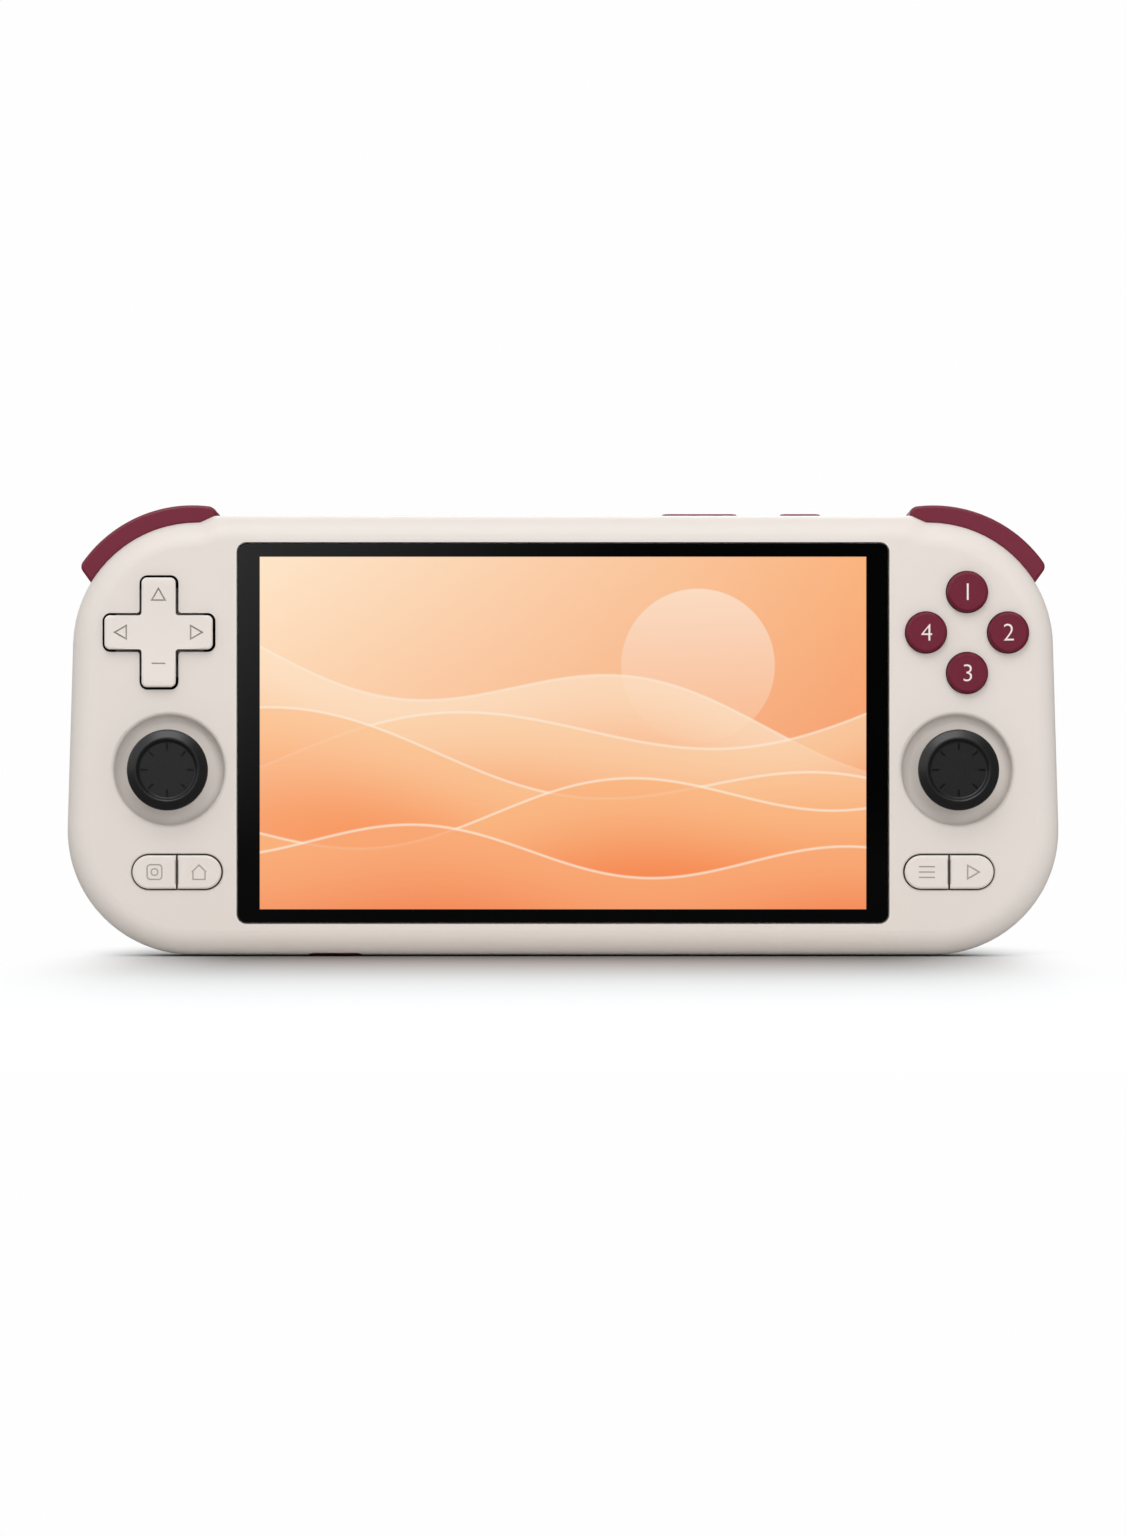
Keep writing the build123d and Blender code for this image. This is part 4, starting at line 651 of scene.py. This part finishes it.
class ConsoleSticks(bpy.types.Operator):
    """Dress the thumb sticks and what shows under them"""

    bl_idname = "console.sticks"
    bl_label = "Thumb sticks"

    def execute(self, context):
        # Floors of the ticks in the caps get painted black shade
        rubber = grained("black_rubber", context.scene.console_looks.rubber, roughness=0.3,
                         grain=7000.0, depth=0.004, spread=0.08,
                         shades=((tick_floors, PAINTED_GAP_SHADE),))
        dress(rubber, *both("stick_cap"))
        black = grained("black_plastic", linear(30, 30, 31), roughness=0.45, grain=4000.0,
                        depth=0.003, spread=0.08)
        dress(black, *both("stick_rocker", "stick_yoke", "shoulder_bracket", "speaker"),
              "headphone_jack", "tact_switches")
        white = grained("white_plastic", linear(226, 226, 222), roughness=0.35, grain=4000.0,
                        depth=0.002, spread=0.02)
        dress(white, *both("stick_stem"), "dpad_pivot_ball")
        return {"FINISHED"}


class ConsoleScreen(bpy.types.Operator):
    """Dress the screen glass with its border and picture, and the panel behind it"""

    bl_idname = "console.screen"
    bl_label = "Screen"

    def execute(self, context):
        dress(screen_look("screen"), "screen_glass")
        panel = grained("panel", linear(60, 60, 62), roughness=0.5, grain=900.0, depth=0.002,
                        spread=0.06)
        dress(panel, "display_panel")
        return {"FINISHED"}


class ConsoleInside(bpy.types.Operator):
    """Dress the boards, metal parts, membranes and cables inside"""

    bl_idname = "console.inside"
    bl_label = "Inside"

    def execute(self, context):
        steel = grained("steel", linear(176, 178, 180), roughness=0.32, grain=3000.0, depth=0.002,
                        spread=0.05, metallic=1.0, stretch=(1.0, 1.0, 0.1))
        dress(steel, "case_screws", "board_screws", "main_board_shield", "usb_c_port",
              "card_socket", "vibration_motor",
              *both("stick_housing", "shoulder_pin", "trigger_spring"))
        metal = grained("frame_metal", linear(205, 205, 208), roughness=0.38, grain=2500.0,
                        depth=0.002, spread=0.04, metallic=1.0, stretch=(0.1, 1.0, 1.0))
        dress(metal, "mid_frame")
        copper = grained("copper", linear(214, 150, 110), roughness=0.3, grain=2500.0,
                         depth=0.002, spread=0.06, metallic=1.0)
        dress(copper, "heat_spreader")
        wrap = grained("battery_wrap", linear(52, 52, 55), roughness=0.4, grain=1500.0,
                       depth=0.004, spread=0.08)
        dress(wrap, "battery")
        board = board_look("board", linear(24, 84, 58))
        dress(board, "main_board", "side_key_board", *both("control_board"))
        silicone = grained("grey_silicone", linear(150, 152, 154), roughness=0.5, grain=2500.0,
                           depth=0.004, spread=0.04)
        dress(silicone, "face_button_membrane", "dpad_membrane", "small_button_pads")
        flex = grained("flex", linear(176, 112, 44), roughness=0.3, grain=2000.0, depth=0.002,
                       spread=0.08, coat=0.2)
        dress(flex, "display_flex", *both("board_flex"))
        return {"FINISHED"}


def number_mesh(context, name, number, looks):
    """Mesh of a printed number, lying in its own XY plane."""
    letters = bpy.data.curves.new(f"mark_{name}", "FONT")
    letters.body = str(number)
    letters.size = looks.mark_size
    letters.extrude = looks.mark_height / 2
    letters.offset = -looks.mark_thinning
    letters.align_x = "CENTER"
    letters.align_y = "CENTER"
    letters.resolution_u = LETTER_STEPS
    text = bpy.data.objects.new(f"mark_{name}_text", letters)
    context.scene.collection.objects.link(text)
    context.view_layer.update()
    mesh = bpy.data.meshes.new_from_object(text)
    bpy.data.objects.remove(text)
    return mesh


def stand_on_button(mesh, low, high, middle_x, height):
    """Turn a number upright, and centre it on the front of a button."""
    corners = [vertex.co for vertex in mesh.vertices]
    shift_x = (min(c.x for c in corners) + max(c.x for c in corners)) / 2
    shift_y = (min(c.y for c in corners) + max(c.y for c in corners)) / 2
    front_y = low.y - height / 2
    middle_z = (low.z + high.z) / 2
    for vertex in mesh.vertices:
        x, y, z = vertex.co
        vertex.co = (middle_x + x - shift_x, front_y - z, middle_z + y - shift_y)


class ConsoleMarks(bpy.types.Operator):
    """Print a plain number on each face button"""

    bl_idname = "console.marks"
    bl_label = "Button marks"

    def execute(self, context):
        looks = context.scene.console_looks
        print_white = grained("button_print", looks.mark, roughness=0.4, grain=4000.0,
                              depth=0.001, spread=0.02)
        for number, (name, side) in enumerate(BUTTON_SIDES.items(), 1):
            low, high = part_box(f"face_button_{name}")
            mesh = number_mesh(context, name, number, looks)
            middle_x = (PAD_X + side * BUTTON_OFFSET_X) * MM
            stand_on_button(mesh, low, high, middle_x, looks.mark_height)
            mesh.materials.clear()
            mesh.materials.append(print_white)
            piece = bpy.data.objects.new(f"button_mark_{name}", mesh)
            context.scene.collection.objects.link(piece)
            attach(piece, f"face_button_{name}")
        return {"FINISHED"}


def add_floor(scene):
    """Square floor, a hair under the console."""
    mesh = bpy.data.meshes.new("studio_floor")
    corners = [(x, y, 0) for x, y in ((-1, -1), (1, -1), (1, 1), (-1, 1))]
    mesh.from_pydata([Vector(corner) * FLOOR_HALF for corner in corners], [], [(0, 1, 2, 3)])
    mesh.materials.append(floor_look())
    floor = bpy.data.objects.new("studio_floor", mesh)
    floor.location.z = -FLOOR_DROP
    scene.collection.objects.link(floor)


def add_lamp(scene, name, place, side, power):
    """Square lamp that faces the console."""
    light = bpy.data.lights.new(name, "AREA")
    light.shape = "SQUARE"
    light.size = side
    light.energy = power
    lamp = bpy.data.objects.new(name, light)
    lamp.location = place
    aim = Vector(LAMP_AIM) - Vector(place)
    lamp.rotation_euler = aim.to_track_quat("-Z", "Y").to_euler()
    scene.collection.objects.link(lamp)
    return lamp


def add_camera(scene, stage):
    """Camera square in front of the console."""
    camera = bpy.data.cameras.new("camera")
    camera.sensor_fit = "VERTICAL"
    camera.angle = 2 * atan(stage.view_height / 2 / stage.camera_distance)
    eye = bpy.data.objects.new("camera", camera)
    eye.location = (0.0, FRONT_Y * MM - stage.camera_distance, stage.view_middle)
    eye.rotation_euler = (pi / 2, 0.0, 0.0)
    scene.collection.objects.link(eye)
    scene.camera = eye


class ConsoleStudio(bpy.types.Operator):
    """Set up the floor, backdrop, lamps and camera"""

    bl_idname = "console.studio"
    bl_label = "Studio"

    def execute(self, context):
        scene = context.scene
        stage = scene.console_stage
        scene.view_settings.view_transform = "Standard"
        scene.world = studio_world(stage.sky)
        add_floor(scene)
        add_lamp(scene, "key_lamp", *KEY_LAMP, stage.key_power)
        low = add_lamp(scene, "low_lamp", *LOW_LAMP, stage.low_power)
        low.visible_glossy = False
        add_lamp(scene, "back_lamp", *BACK_LAMP, stage.back_power)
        add_camera(scene, stage)
        return {"FINISHED"}


class ConsolePanel(bpy.types.Panel):
    """Console looks in the 3D view's sidebar"""

    bl_idname = "VIEW3D_PT_console"
    bl_label = "Console"
    bl_space_type = "VIEW_3D"
    bl_region_type = "UI"
    bl_category = "Console"

    def draw(self, context):
        for operator in OPERATORS:
            self.layout.operator(operator.bl_idname)
        for group in (context.scene.console_looks, context.scene.console_stage):
            for name in group.bl_rna.properties.keys():
                if name not in ("rna_type", "name"):
                    self.layout.prop(group, name)


OPERATORS = (
    ConsoleCasing,
    ConsoleKeys,
    ConsoleSticks,
    ConsoleScreen,
    ConsoleInside,
    ConsoleMarks,
    ConsoleStudio,
)
CLASSES = (ConsoleLooks, ConsoleStage, *OPERATORS, ConsolePanel)


def register():
    for entry in CLASSES:
        bpy.utils.register_class(entry)
    bpy.types.Scene.console_looks = PointerProperty(type=ConsoleLooks)
    bpy.types.Scene.console_stage = PointerProperty(type=ConsoleStage)


def unregister():
    del bpy.types.Scene.console_stage
    del bpy.types.Scene.console_looks
    for entry in reversed(CLASSES):
        bpy.utils.unregister_class(entry)


def main():
    """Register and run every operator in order."""
    register()
    bpy.ops.console.casing()
    bpy.ops.console.keys()
    bpy.ops.console.sticks()
    bpy.ops.console.screen()
    bpy.ops.console.inside()
    bpy.ops.console.marks()
    bpy.ops.console.studio()


if __name__ == "__main__":
    main()
